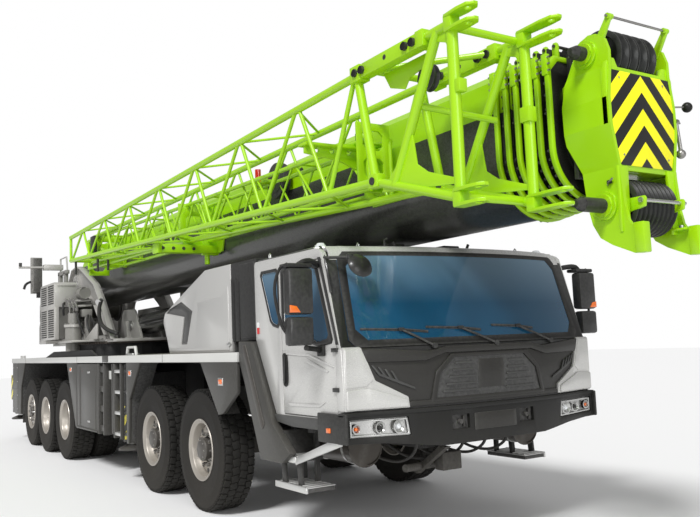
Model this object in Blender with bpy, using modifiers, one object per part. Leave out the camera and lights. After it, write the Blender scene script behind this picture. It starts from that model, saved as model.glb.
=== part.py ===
"""Truck-mounted telescopic crane: five axles, seven boom sections, outriggers and a stowed lattice jib.

Metres, +X forward, +Y left, +Z up. The origin is on the ground under the middle of the whole machine.
"""
import math

import bmesh
import bpy
from mathutils import Matrix, Vector

# ---------------------------------------------------------------- driving dimensions
GAP = 0.0003                 # between pieces that rest on each other
RUNNING = 0.0005             # between faces that turn or slide on each other

AXLE_1_X = 2.79              # first axle, ahead of the machine's middle
AXLE_STEPS = (0.0, -1.578, -5.830, -7.230, -8.643)
HALF_WIDTH = 1.50            # deck edge
TYRE_R = 0.66
TYRE_W = 0.375
WHEEL_FACETS = 20
WHEEL_Z = TYRE_R * math.cos(math.pi / WHEEL_FACETS)
SINGLE_Y = 1.2725            # middle of a single tyre
TWIN_Y = 1.1025              # middle of a twin pair
TWIN_STEP = 0.42             # between the two tyres of a pair
KINGPIN_Y = 1.00

FRAME_HALF = 0.58            # box girder
RAIL_HALF = 0.42             # narrower front rails
FRAME_Z = (0.95, 1.6097)
DECK_Z = (1.61, 1.69)

CAB_HALF = 1.42
CAB_WALL = 0.05
CAB_ROOF_Z = 2.57
CAB_BULGE = 0.17             # the front's middle stands this far ahead of its corners
CAB_FLAT_HALF = 0.80         # half width of the front's flat middle
CAB_CORNER_Y = 1.28          # the swept part of the front ends here
GLASS_LOW = (3.07, 1.72)     # windscreen plane: x of its middle, z
GLASS_HIGH = (2.835, 2.50)
CAB_NOSE_X = 3.09
BUMPER_X = 3.13
TOW_POCKET_Y = 0.38
DOOR_GAP = 0.006
DOOR_T = 0.048
MIRROR_X = (2.66, 2.78)
BOOM_REST_Z = 2.62           # top of the rest under the stowed boom, clear of its bending

BEAM_W = 0.26
BEAM_H = 0.34
BEAM_LIP = 1.14              # outrigger box ends here
FRONT_BEAM_X = (-2.80, -3.12)    # right beam, left beam
REAR_BEAM_X = (-10.42, -10.10)
JACK_R = 0.12

SLEW_X = -6.90
RING_R = 0.95
RING_TOP = 1.90
CHEEK_Y = 0.56
CHEEK_T = 0.06

PIVOT = (-8.30, 3.10)        # boom foot pin
BOOM_HALF = 0.47
BOOM_TOP = 3.84
BOOM_LOW = 2.68
BOOM_WAIST = 3.12            # the round underside starts here
BOOM_WALL = 0.016
BOOM_STEP = 0.038            # each section is this much smaller all round
COLLAR_X = 3.83              # rear face of the base section's collar
COLLAR_PITCH = 0.10
COLLAR_T = 0.06

CYLINDER_FOOT = (-6.20, 2.22)
CYLINDER_EYE = (-2.20, 2.38)
BARREL_R = 0.19
ROD_R = 0.13

SHEAVE_TOP = (4.66, 3.73)
SHEAVE_LOW = (4.72, 2.62)
SHEAVE_R = 0.20


def machine_x(from_axle_1):
    """World x of a place measured from the first axle."""
    return from_axle_1 + AXLE_1_X


# ---------------------------------------------------------------- scene and helpers
for old in list(bpy.data.objects):
    bpy.data.objects.remove(old, do_unlink=True)

PARTS = bpy.data.collections.new("mobile_crane")
CUTTERS = bpy.data.collections.new("cutters")
bpy.context.scene.collection.children.link(PARTS)
bpy.context.scene.collection.children.link(CUTTERS)


def helper_object(data):
    """A working shape, kept with the cutters until it has been used."""
    helper = bpy.data.objects.new("helper", data)
    CUTTERS.objects.link(helper)
    helper.hide_render = True
    helper.display_type = "WIRE"
    return helper


def evaluated_mesh(helper, turn_outward=True):
    """The helper's finished mesh, welded, in world space; the helper is removed."""
    graph = bpy.context.evaluated_depsgraph_get()
    mesh = bpy.data.meshes.new_from_object(helper.evaluated_get(graph))
    mesh.transform(helper.matrix_world)
    bm = bmesh.new()
    bm.from_mesh(mesh)
    bmesh.ops.remove_doubles(bm, verts=bm.verts, dist=0.00002)
    if turn_outward:
        bmesh.ops.recalc_face_normals(bm, faces=bm.faces)
    bm.to_mesh(mesh)
    bm.free()
    bpy.data.objects.remove(helper, do_unlink=True)
    return mesh


def box(x, y, z):
    """A block between the two values of each pair, x measured from the first axle."""
    bm = bmesh.new()
    bmesh.ops.create_cube(bm, size=1.0)
    size = Vector((x[1] - x[0], y[1] - y[0], z[1] - z[0]))
    middle = Vector((machine_x((x[0] + x[1]) / 2), (y[0] + y[1]) / 2, (z[0] + z[1]) / 2))
    bm.transform(Matrix.Translation(middle) @ Matrix.Diagonal((*size, 1.0)))
    mesh = bpy.data.meshes.new("box")
    bm.to_mesh(mesh)
    bm.free()
    return mesh


def bar(start, end, radius, sides=12, end_radius=None):
    """A round or faceted bar from start to end, x measured from the first axle."""
    first = Vector((machine_x(start[0]), start[1], start[2]))
    last = Vector((machine_x(end[0]), end[1], end[2]))
    along = last - first
    bm = bmesh.new()
    far_radius = radius if end_radius is None else end_radius
    bmesh.ops.create_cone(bm, cap_ends=True, segments=sides, radius1=radius,
                          radius2=far_radius, depth=along.length)
    turn = along.to_track_quat("Z", "Y").to_matrix().to_4x4()
    half_facet = Matrix.Rotation(math.pi / sides, 4, "Z")
    bm.transform(Matrix.Translation((first + last) / 2) @ turn @ half_facet)
    mesh = bpy.data.meshes.new("bar")
    bm.to_mesh(mesh)
    bm.free()
    return mesh


PLANES = {
    "XZ": Matrix(((1, 0, 0, 0), (0, 0, -1, 0), (0, 1, 0, 0), (0, 0, 0, 1))),
    "YZ": Matrix(((0, 0, 1, 0), (1, 0, 0, 0), (0, 1, 0, 0), (0, 0, 0, 1))),
    "XY": Matrix.Identity(4),
}


def flat(plane, depth, *loops):
    """A flat outline (and its holes) in a plane, extruded over depth; x from the first axle."""
    curve = bpy.data.curves.new("outline", "CURVE")
    curve.dimensions = "2D"
    curve.fill_mode = "BOTH"
    curve.extrude = (depth[1] - depth[0]) / 2
    for loop in loops:
        spline = curve.splines.new("POLY")
        spline.points.add(len(loop) - 1)
        spline.use_cyclic_u = True
        for point, (u, v) in zip(spline.points, loop):
            along = machine_x(u) if plane[0] == "X" else u
            point.co = (along, v, 0.0, 1.0)
    helper = helper_object(curve)
    middle = (depth[0] + depth[1]) / 2
    offset = {"XZ": (0, middle, 0), "YZ": (machine_x(middle), 0, 0), "XY": (0, 0, middle)}[plane]
    helper.matrix_world = Matrix.Translation(offset) @ PLANES[plane]
    bpy.context.view_layer.update()
    return evaluated_mesh(helper)


def turned(profile, middle, facets, outward):
    """A shape turned about a line along Y; profile is (radius, distance outward)."""
    mesh = bpy.data.meshes.new("profile")
    bm = bmesh.new()
    corners = [bm.verts.new((radius, 0.0, height)) for radius, height in profile]
    for upper, lower in zip(corners, corners[1:]):
        bm.edges.new((upper, lower))
    bm.to_mesh(mesh)
    bm.free()
    helper = helper_object(mesh)
    screw = helper.modifiers.new("turn", "SCREW")
    screw.axis = "Z"
    screw.steps = facets
    screw.render_steps = facets
    screw.use_merge_vertices = True
    screw.merge_threshold = 0.0001
    place = Matrix.Translation((machine_x(middle[0]), middle[1], middle[2]))
    to_side = Matrix.Rotation(-outward * math.pi / 2, 4, "X")
    half_facet = Matrix.Rotation(math.pi / 2 + math.pi / facets, 4, "Z")
    helper.matrix_world = place @ to_side @ half_facet
    bpy.context.view_layer.update()
    return evaluated_mesh(helper)


def combine(mesh, others, operation):
    """One mesh after joining or cutting it with each of the others."""
    for other in others:
        body = helper_object(mesh)
        tool = helper_object(other)
        boolean = body.modifiers.new("combine", "BOOLEAN")
        boolean.operation = operation
        boolean.solver = "EXACT"
        boolean.object = tool
        bpy.context.view_layer.update()
        mesh = evaluated_mesh(body, turn_outward=False)
        bpy.data.objects.remove(tool, do_unlink=True)
    return mesh


def union(first, *others):
    return combine(first, others, "UNION")


def minus(first, *others):
    return combine(first, others, "DIFFERENCE")


MATERIALS = {
    "silver_white": ((0.62, 0.62, 0.60), 0.35, 0.2),
    "lime": ((0.42, 0.75, 0.02), 0.35, 0.0),
    "boom_dark": ((0.03, 0.035, 0.03), 0.4, 0.0),
    "dark_grey": ((0.07, 0.07, 0.07), 0.5, 0.0),
    "black": ((0.015, 0.015, 0.015), 0.5, 0.0),
    "rubber": ((0.02, 0.02, 0.02), 0.85, 0.0),
    "steel": ((0.45, 0.45, 0.44), 0.4, 0.8),
    "grey": ((0.40, 0.40, 0.39), 0.4, 0.2),
    "glass": ((0.08, 0.2, 0.32), 0.05, 0.0),
    "hazard": ((0.85, 0.65, 0.02), 0.4, 0.0),
}


def material(name):
    found = bpy.data.materials.get(name)
    if found:
        return found
    colour, roughness, metallic = MATERIALS[name]
    made = bpy.data.materials.new(name)
    made.use_nodes = True
    shader = made.node_tree.nodes["Principled BSDF"]
    shader.inputs["Base Color"].default_value = (*colour, 1.0)
    shader.inputs["Roughness"].default_value = roughness
    shader.inputs["Metallic"].default_value = metallic
    return made


def part(name, mesh, surface, origin=None, parent=None):
    """A finished sub-part; a moving one has its origin on its joint's axis."""
    mesh.name = name
    piece = bpy.data.objects.new(name, mesh)
    PARTS.objects.link(piece)
    if origin:
        point = Vector((machine_x(origin[0]), origin[1], origin[2]))
        mesh.transform(Matrix.Translation(-point))
        piece.location = point
    mesh.materials.clear()
    mesh.materials.append(material(surface))
    if parent:
        bpy.context.view_layer.update()
        piece.parent = parent
        piece.matrix_parent_inverse = parent.matrix_world.inverted()
    return piece


def beside(side, inner, outer):
    """The (low, high) y of something between inner and outer on one side; side is -1 or 1."""
    return (inner, outer) if side > 0 else (-outer, -inner)


SIDES = (("right", -1), ("left", 1))


# ---------------------------------------------------------------- carrier: frame and deck
def outrigger_box(beams):
    """A cross box with one through channel for each beam."""
    wall = 0.05
    half = BEAM_W / 2 + 0.01
    along = (min(beams) - half - wall, max(beams) + half + wall)
    shell = box(along, (-BEAM_LIP, BEAM_LIP), (0.94, 1.44))
    channels = [box((beam_x - half, beam_x + half), (-1.3, 1.3), (1.0, 1.0 + BEAM_H + 0.02))
                for beam_x in beams]
    return shell, channels


def chassis_frame():
    girder = box((-10.30, -1.95), (-FRAME_HALF, FRAME_HALF), FRAME_Z)
    rails = box((-2.0, 1.36), (-RAIL_HALF, RAIL_HALF), (0.95, 1.25))
    horns = box((1.25, 2.60), (-RAIL_HALF + 0.01, RAIL_HALF - 0.01), (0.78, 1.06 - GAP))
    pieces = [rails, horns]
    channels = []
    for beams in (FRONT_BEAM_X, REAR_BEAM_X):
        shell, cuts = outrigger_box(beams)
        pieces.append(shell)
        channels += cuts
    pieces.append(bar((SLEW_X, 0, 1.58), (SLEW_X, 0, RING_TOP - RUNNING), RING_R, 32))
    for _, side in SIDES:
        pieces.append(box((1.80, 1.88), beside(side, 0.30, 1.30), (0.97, 1.03)))
        pieces.append(box((2.12, 2.20), beside(side, 0.30, 1.30), (0.97, 1.03)))
        for step_x, step_z in (((1.62, 2.10), 0.72), ((1.72, 2.28), 0.48)):
            pieces.append(box(step_x, beside(side, 1.14, 1.42), (step_z, step_z + 0.04)))
        for hanger_x in ((1.80, 1.84), (2.04, 2.08)):
            pieces.append(box(hanger_x, beside(side, 1.16, 1.20), (0.48, 1.00)))
    pieces.append(bar((1.75, -0.95, 0.84), (2.45, -0.95, 0.84), 0.15, 16))
    frame = union(girder, *pieces)
    return part("chassis_frame", minus(frame, *channels), "black")


def side_panel(side, outline):
    return flat("XZ", beside(side, HALF_WIDTH - 0.05, HALF_WIDTH - 0.003), outline)


def mudguard(side):
    """Slanting panel behind the cab door with the arch plate over the first wheel."""
    panel = flat("XZ", beside(side, 1.42, 1.48),
                 [(1.09, 1.62), (1.09, 1.79), (1.36, 1.79), (1.76, 1.05), (2.08, 0.80), (1.95, 0.70),
                  (1.52, 0.70)])
    arch = flat("XZ", beside(side, 1.00, 1.45),
                [(1.02, 1.64), (1.05, 1.68), (1.16, 1.68), (1.58, 0.73), (1.54, 0.72)])
    return [panel, arch]


def deck():
    plate = box((-10.35, 1.106), (-HALF_WIDTH, HALF_WIDTH), DECK_Z)
    well = bar((SLEW_X, 0, 1.5), (SLEW_X, 0, 1.8), RING_R + 0.08, 32)
    engine_well = box((-1.02, 0.95), (-0.50, 0.50), (1.5, 1.8))
    plate = minus(plate, well, engine_well)
    pieces = []
    for _, side in SIDES:
        pieces += mudguard(side)
        rear_edge = -10.26 if side < 0 else -9.94
        pieces.append(side_panel(side, [(rear_edge, 1.65), (-8.95, 1.65), (-9.34, 1.12), (-9.42, 0.55),
                                        (rear_edge, 0.55)]))
        pieces.append(side_panel(side, [(-2.62, 1.65), (-1.85, 1.65), (-2.30, 1.12), (-2.36, 0.52),
                                        (-2.62, 0.52)]))
    locker = box((-4.97, -3.47), (0.006 - HALF_WIDTH, -0.75), (0.57, 1.66))
    arch_side = side_panel(-1, [(-5.60, 1.65), (-4.90, 1.65), (-4.90, 0.57), (-5.04, 0.57)])
    pieces += [locker, arch_side]
    for rung_z in (0.66, 0.95, 1.24):
        pieces.append(box((-3.50, -3.04), (-1.48, -1.38), (rung_z, rung_z + 0.03)))
    pieces.append(box((-3.06, -3.03), (-1.485, -1.375), (0.64, 1.64)))
    pieces.append(bar((-4.95, 1.12, 0.95), (-3.45, 1.12, 0.95), 0.33, 20))
    pieces.append(box((-4.70, -4.55), (0.85, 1.35), (1.15, 1.65)))
    pieces.append(box((-3.90, -3.75), (0.85, 1.35), (1.15, 1.65)))
    return part("deck", union(plate, *pieces), "grey")


def engine():
    return part("engine_block", box((-0.85, 0.85), (-0.42, 0.42), (1.25 + GAP, 2.10)), "dark_grey")


def engine_housing():
    outer = flat("XZ", (-1.40, 1.40), [(-1.03, DECK_Z[1] + GAP), (-1.23, 2.08), (-1.17, 2.18), (-0.03, 2.55),
                                       (0.10, 2.60), (1.36, 2.60), (1.36, 1.80), (0.98, 1.80),
                                       (0.98, DECK_Z[1] + GAP)])
    inner = flat("XZ", (-1.37, 1.37), [(-1.00, 1.50), (-1.00, 1.72), (-1.195, 2.08), (-1.145, 2.16),
                                       (-0.02, 2.52), (0.11, 2.57), (1.33, 2.57), (1.33, 1.83), (0.95, 1.83),
                                       (0.95, 1.50)])
    return part("engine_housing", minus(outer, inner), "silver_white")


# ---------------------------------------------------------------- carrier cab
def front_line(front_x, half, corner_y=CAB_CORNER_Y):
    """The cab front seen from above: a flat middle, two swept facets and two short flat ends."""
    back_x = front_x - CAB_BULGE
    right = [(back_x, -half), (back_x, -corner_y), (front_x, -CAB_FLAT_HALF)]
    return right + [(x, -y) for x, y in reversed(right)]


def lofted(levels):
    """A closed solid between horizontal outlines, each given as (z, points); all have the same count."""
    bm = bmesh.new()
    rings = [[bm.verts.new((machine_x(x), y, z)) for x, y in points] for z, points in levels]
    for lower, upper in zip(rings, rings[1:]):
        for i, corner in enumerate(lower):
            after = (i + 1) % len(lower)
            bm.faces.new((corner, lower[after], upper[after], upper[i]))
    bm.faces.new(list(reversed(rings[0])))
    bm.faces.new(rings[-1])
    bmesh.ops.recalc_face_normals(bm, faces=bm.faces)
    mesh = bpy.data.meshes.new("lofted")
    bm.to_mesh(mesh)
    bm.free()
    return mesh


def cab_level(z, rear_x, front_x, half, corner_y=CAB_CORNER_Y):
    """One horizontal outline of the cab, from its rear wall to its swept front."""
    return (z, [(rear_x, -half)] + front_line(front_x, half, corner_y) + [(rear_x, half)])


DOOR_OUTLINE = [(1.905, 1.13), (2.84, 1.13), (2.84, 1.73), (2.60, 2.46), (1.905, 2.46)]
DOOR_WINDOW = [(1.97, 2.40), (2.54, 2.40), (2.74, 1.79), (2.55, 1.755), (2.41, 1.80), (1.97, 1.93)]


def inset(outline, amount):
    """The same outline pulled in by a small amount toward its middle (or out, if negative)."""
    middle_u = sum(point[0] for point in outline) / len(outline)
    middle_v = sum(point[1] for point in outline) / len(outline)
    return [(u - amount * math.copysign(1, u - middle_u), v - amount * math.copysign(1, v - middle_v))
            for u, v in outline]


def carrier_cab():
    lip_x = CAB_NOSE_X - 0.07
    outer = lofted([cab_level(1.06, 1.80, lip_x, CAB_HALF), cab_level(1.185, 1.731, lip_x, CAB_HALF),
                    cab_level(1.186, 1.730, CAB_NOSE_X, CAB_HALF),
                    cab_level(1.69, 1.451, CAB_NOSE_X, CAB_HALF),
                    cab_level(GLASS_LOW[1], 1.434, GLASS_LOW[0], CAB_HALF),
                    cab_level(1.80, 1.39, 3.046, CAB_HALF),
                    cab_level(GLASS_HIGH[1], 1.39, GLASS_HIGH[0], CAB_HALF),
                    cab_level(2.54, 1.39, 2.80, CAB_HALF), cab_level(CAB_ROOF_Z, 1.42, 2.76, CAB_HALF)])
    room_half = CAB_HALF - CAB_WALL
    room_corner = CAB_CORNER_Y - 0.02
    inner = lofted([cab_level(1.11, 1.83, 2.99, room_half, room_corner),
                    cab_level(1.72, 1.49, 3.00, room_half, room_corner),
                    cab_level(1.81, 1.44, 2.98, room_half, room_corner),
                    cab_level(2.49, 1.44, 2.775, room_half, room_corner),
                    cab_level(2.52, 1.45, 2.74, room_half, room_corner)])
    cuts = [inner, flat("YZ", (2.40, 3.25), [(-1.18, 1.77), (1.18, 1.77), (1.18, 2.46), (-1.18, 2.46)])]
    for _, side in SIDES:
        through = beside(side, CAB_HALF - 2 * CAB_WALL, CAB_HALF + CAB_WALL)
        cuts.append(flat("XZ", through, DOOR_OUTLINE))
        cuts.append(flat("XZ", through, [(1.53, 2.42), (1.86, 2.42), (1.86, 1.92), (1.72, 1.96)]))
    shell = minus(outer, *cuts)
    hinges = []
    for _, side in SIDES:
        for hinge_z in (1.30, 1.62):
            hinges.append(box((2.86, 2.90), beside(side, 1.40, 1.448), (hinge_z, hinge_z + 0.04)))
    shell = union(shell, *hinges)
    return part("carrier_cab", shell, "silver_white")


def boom_rest():
    """The padded trestle on the cab roof under the stowed boom."""
    foot = box((1.95, 2.35), (-0.46, 0.46), (CAB_ROOF_Z + GAP, CAB_ROOF_Z + 0.03))
    pads = [box((2.02, 2.28), beside(side, 0.18, 0.40), (CAB_ROOF_Z + 0.02, BOOM_REST_Z))
            for _, side in SIDES]
    bridge = box((2.10, 2.20), (-0.42, 0.42), (CAB_ROOF_Z + 0.02, BOOM_REST_Z - 0.03))
    return part("boom_rest", union(foot, bridge, *pads), "black")


def windshield():
    """The laminated screen: one pane that follows the swept front, just ahead of its opening."""
    levels = []
    for z in (1.735, 2.495):
        fraction = (z - GLASS_LOW[1]) / (GLASS_HIGH[1] - GLASS_LOW[1])
        face_x = GLASS_LOW[0] + (GLASS_HIGH[0] - GLASS_LOW[0]) * fraction + 2 * GAP
        inner = front_line(face_x, 1.22, 1.21)[1:-1]
        sweep = CAB_BULGE * (1.21 - CAB_FLAT_HALF) / (CAB_CORNER_Y - CAB_FLAT_HALF)
        inner = [(face_x - sweep, inner[0][1])] + inner[1:-1] + [(face_x - sweep, inner[-1][1])]
        outer = [(x + 0.008, y) for x, y in inner]
        levels.append((z, inner + outer[::-1]))
    return part("windshield", lofted(levels), "glass")


def grille_panel():
    half = CAB_FLAT_HALF - 0.01
    outline = [(-half, 1.66), (half, 1.66), (half, 1.30), (half - 0.05, 1.21), (0.05 - half, 1.21),
               (-half, 1.30)]
    return part("grille_panel", flat("YZ", (CAB_NOSE_X + GAP, CAB_NOSE_X + 0.03), outline), "dark_grey")


def bumper():
    half = 1.4485
    outline = front_line(BUMPER_X, half) + [(x - 0.10, y) for x, y in reversed(front_line(BUMPER_X, half))]
    face = lofted([(0.925, outline), (1.1845, outline)])
    shelf = box((2.60 + GAP, 2.93), (-1.42, 1.42), (0.926, 1.0595))
    pockets = [box((2.95, 3.30), (y - 0.10, y + 0.10), (0.98, 1.09)) for y in (-TOW_POCKET_Y, TOW_POCKET_Y)]
    return part("bumper", minus(union(face, shelf), *pockets), "black")


def cab_interior():
    floor_z = 1.11 + GAP
    floor = box((1.87, 2.79), (-1.34, 1.34), (floor_z, floor_z + 0.03))
    dash = flat("XZ", (-1.30, 1.30), [(2.50, 1.50), (2.50, 1.66), (2.78, 1.70), (2.80, 1.30), (2.80, 1.12),
                                      (2.68, 1.12), (2.68, 1.45)])
    pieces = [dash]
    for seat_y in (-0.85, 0.85):
        half = 0.26
        pieces.append(box((1.92, 2.30), (seat_y - 0.2, seat_y + 0.2), (1.12, 1.36)))
        pieces.append(box((1.88, 2.40), (seat_y - half, seat_y + half), (1.34, 1.48)))
        pieces.append(flat("XZ", (seat_y - half, seat_y + half), [(1.88, 1.45), (2.00, 1.45), (1.90, 2.10),
                                                                   (1.80, 2.10)]))
    pieces.append(bar((2.60, 0.85, 1.55), (2.44, 0.85, 1.80), 0.04, 8))
    pieces.append(bar((2.45, 0.85, 1.79), (2.43, 0.85, 1.82), 0.22, 16))
    return part("cab_interior", union(floor, *pieces), "black")


def mirror_arm(side):
    """A bent arm from the door frame out and forward to the mirror's post."""
    outline = [(2.46, 1.41), (2.52, 1.41), (2.52, 1.52), (2.73, 1.56), (2.73, 1.60), (2.46, 1.55)]
    return [(x, side * y) for x, y in outline]


def doors():
    """Each door carries its own mirrors on two arms."""
    for side_name, side in SIDES:
        depth = beside(side, CAB_HALF - DOOR_T, CAB_HALF)
        leaf = flat("XZ", depth, inset(DOOR_OUTLINE, DOOR_GAP), DOOR_WINDOW)
        pieces = []
        for hinge_z in (1.30, 1.62):
            low = hinge_z + 0.04 + RUNNING
            pieces.append(box((2.78, 2.825), beside(side, 1.40, 1.44), (low + 0.001, low + 0.039)))
            pieces.append(box((2.80, 2.888), beside(side, 1.424, 1.448), (low, low + 0.04)))
        pieces.append(box(MIRROR_X, beside(side, 1.57, 1.80), (1.74, 2.36)))
        pieces.append(box((2.68, 2.73), beside(side, 1.56, 1.60), (1.70, 2.45)))
        for arm_z in (1.70, 2.40):
            pieces.append(flat("XY", (arm_z, arm_z + 0.05), mirror_arm(side)))
        hinge = (2.885, side * 1.436, 1.30)
        door = part("door_" + side_name, union(leaf, *pieces), "silver_white", hinge)
        pane = flat("XZ", beside(side, CAB_HALF - DOOR_T - GAP - 0.006, CAB_HALF - DOOR_T - GAP),
                    inset(DOOR_WINDOW, -0.02))
        part("door_glass_" + side_name, pane, "glass", hinge, door)


# ---------------------------------------------------------------- running gear
def single_wheel_profile():
    half = TYRE_W / 2
    return [(0.0, half), (0.12, half), (0.13, 0.10), (0.31, 0.10), (0.345, 0.15), (0.50, half),
            (TYRE_R, 0.14), (TYRE_R, -0.14), (0.50, -half), (0.31, -0.15), (0.31, 0.08), (0.0, 0.08)]


def twin_wheel_profile():
    half = TYRE_W / 2
    step = TWIN_STEP / 2
    return [(0.0, 0.20), (0.13, 0.20), (0.14, 0.06), (0.31, 0.06), (0.345, step + 0.15),
            (0.50, step + half), (TYRE_R, step + 0.14), (TYRE_R, step - 0.14), (0.50, step - half),
            (0.40, 0.0), (0.50, half - step), (TYRE_R, 0.14 - step), (TYRE_R, -0.14 - step),
            (0.50, -half - step), (0.31, -0.15 - step), (0.31, 0.04), (0.0, 0.04)]


def wheel(name, axle_x, side, profile, middle_y):
    centre = (axle_x, side * middle_y, WHEEL_Z)
    part(name, turned(profile, centre, WHEEL_FACETS, side), "rubber", centre)


def steered_axle(number, axle_x):
    pin_low, pin_high = TYRE_R - 0.16, TYRE_R + 0.14
    beam = box((axle_x - 0.06, axle_x + 0.06), (-KINGPIN_Y, KINGPIN_Y), (TYRE_R - 0.10, TYRE_R + 0.08))
    pieces = []
    for side_name, side in SIDES:
        pin_y = side * KINGPIN_Y
        pieces.append(bar((axle_x, pin_y, pin_low), (axle_x, pin_y, pin_high), 0.06, 12))
        pieces.append(box((axle_x - 0.10, axle_x + 0.10), beside(side, 0.24, 0.40),
                          (TYRE_R + 0.04, FRAME_Z[0] - GAP)))
    part("axle_%d" % number, union(beam, *pieces), "black")
    for side_name, side in SIDES:
        pin = (axle_x, side * KINGPIN_Y, WHEEL_Z)
        reach = SINGLE_Y + 0.08 - RUNNING
        top = box((axle_x - 0.07, axle_x + 0.07), beside(side, 0.93, 1.14),
                  (pin_high + RUNNING, pin_high + 0.05))
        low = box((axle_x - 0.07, axle_x + 0.07), beside(side, 0.93, 1.14),
                  (pin_low - 0.05, pin_low - RUNNING))
        web = box((axle_x - 0.07, axle_x + 0.07), beside(side, 1.08, 1.14), (pin_low - 0.05, pin_high + 0.05))
        drum = bar((axle_x, side * 1.12, WHEEL_Z), (axle_x, side * 1.30, WHEEL_Z), 0.21, 16)
        spindle = bar((axle_x, side * 1.25, WHEEL_Z), (axle_x, side * reach, WHEEL_Z), 0.10, 12)
        part("knuckle_%d_%s" % (number, side_name), union(top, low, web, drum, spindle), "black", pin)
        wheel("wheel_%d_%s" % (number, side_name), axle_x, side, single_wheel_profile(), SINGLE_Y)


def fixed_axle(number, axle_x, twin):
    hub_face = (TWIN_Y + 0.04 if twin else SINGLE_Y + 0.08) - RUNNING
    tube = bar((axle_x, -hub_face, WHEEL_Z), (axle_x, hub_face, WHEEL_Z), 0.11, 12)
    pieces = []
    drum_y = (0.72, 1.08) if twin else (1.10, 1.30)
    for side_name, side in SIDES:
        pieces.append(bar((axle_x, side * drum_y[0], WHEEL_Z), (axle_x, side * drum_y[1], WHEEL_Z), 0.21, 16))
        pieces.append(box((axle_x - 0.12, axle_x + 0.12), beside(side, 0.38, 0.54),
                          (TYRE_R, FRAME_Z[0] - GAP)))
    if twin:
        pieces.append(bar((axle_x - 0.24, 0, WHEEL_Z), (axle_x + 0.24, 0, WHEEL_Z), 0.22, 12))
    part("axle_%d" % number, union(tube, *pieces), "black")
    profile = twin_wheel_profile() if twin else single_wheel_profile()
    for side_name, side in SIDES:
        wheel("wheel_%d_%s" % (number, side_name), axle_x, side, profile, TWIN_Y if twin else SINGLE_Y)


# ---------------------------------------------------------------- outriggers
def outriggers():
    """Each beam slides out of its box; the jack's foot goes down out of the beam's end column."""
    for place, beams in (("front", FRONT_BEAM_X), ("rear", REAR_BEAM_X)):
        for (side_name, side), beam_x in zip(SIDES, beams):
            floor_z = 1.0 + RUNNING
            column_y = side * 1.285
            arm = box((beam_x - BEAM_W / 2, beam_x + BEAM_W / 2), beside(side, -1.10, 1.26),
                      (floor_z, floor_z + BEAM_H))
            column = bar((beam_x, column_y, 0.52), (beam_x, column_y, 1.56), JACK_R, 12)
            bore = bar((beam_x, column_y, 0.40), (beam_x, column_y, 1.46), 0.075, 12)
            name = "outrigger_%s_%s" % (place, side_name)
            origin = (beam_x, column_y, floor_z)
            beam = part(name, minus(union(arm, column), bore), "dark_grey", origin)
            rod = bar((beam_x, column_y, 0.44), (beam_x, column_y, 1.40), 0.075 - RUNNING, 12)
            foot = bar((beam_x, column_y, 0.40), (beam_x, column_y, 0.48), 0.20, 16)
            part("jack_%s_%s" % (place, side_name), union(rod, foot), "steel", (beam_x, column_y, 0.40), beam)


# ---------------------------------------------------------------- superstructure
def turntable():
    """Base plate, two cheek plates, the cooler box on the right and the cab bracket on the left."""
    ring = bar((SLEW_X, 0, RING_TOP), (SLEW_X, 0, 1.95), RING_R + 0.03, 32)
    plate = box((-10.28, -5.60), (-0.66, 0.66), (1.92, 1.98))
    pieces = [plate]
    cheek = [(-5.55, 1.94), (-6.40, 2.92), (-7.56, 3.34), (-8.10, 3.46), (-8.50, 3.42), (-8.72, 3.20),
             (-9.10, 3.10), (-9.60, 2.95), (-9.64, 1.94)]
    for _, side in SIDES:
        pieces.append(flat("XZ", beside(side, CHEEK_Y, CHEEK_Y + CHEEK_T), cheek))
        lug = [(-6.45, 1.97), (-6.35, 2.36), (-6.05, 2.36), (-5.95, 1.97)]
        pieces.append(flat("XZ", beside(side, 0.15 + RUNNING, 0.21), lug))
        pin_end = beside(side, CHEEK_Y + 0.02, CHEEK_Y + 0.12)
        pieces.append(bar((PIVOT[0], pin_end[0], PIVOT[1]), (PIVOT[0], pin_end[1], PIVOT[1]), 0.11, 16))
    cooler = flat("XZ", (-1.45, -0.92),
                  [(-8.95, 2.03), (-8.95, 3.00), (-8.80, 3.10), (-7.30, 3.10), (-7.25, 3.04), (-7.25, 2.40),
                   (-8.30, 2.40), (-8.30, 2.03)])
    pieces.append(cooler)
    for arm_x in (-8.70, -7.60):
        pieces.append(box((arm_x, arm_x + 0.1), (-1.0, -0.60), (2.50, 2.60)))
    pieces.append(bar((-6.75, -1.00, 1.96), (-6.75, -1.00, 2.30), 0.22, 16))
    pieces.append(box((-7.10, -6.30), (-1.25, -0.60), (1.92, 1.98)))
    pieces.append(box((-5.95, -5.65), (0.60, 0.66 - GAP), (2.00, 2.20)))
    return part("turntable", union(ring, *pieces), "silver_white", (SLEW_X, 0, RING_TOP))


def counterweight(parent):
    block = flat("XZ", (-0.95, 0.95), [(-10.30, 1.98 + GAP), (-10.30, 2.80), (-10.22, 2.90), (-9.66, 2.90),
                                       (-9.66, 1.98 + GAP)])
    part("counterweight", block, "silver_white", None, parent)


def winch(parent):
    """The hoist drum with its two flanges, on a shaft between the cheeks."""
    axle_end = CHEEK_Y - RUNNING
    half_profile = [(0.0, axle_end), (0.08, axle_end), (0.08, 0.47), (0.33, 0.47), (0.33, 0.44), (0.26, 0.44)]
    profile = half_profile + [(radius, -across) for radius, across in reversed(half_profile)]
    middle = (-9.25, 0, 2.75)
    part("winch_drum", turned(profile, middle, 20, 1), "dark_grey", middle, parent)


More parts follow.
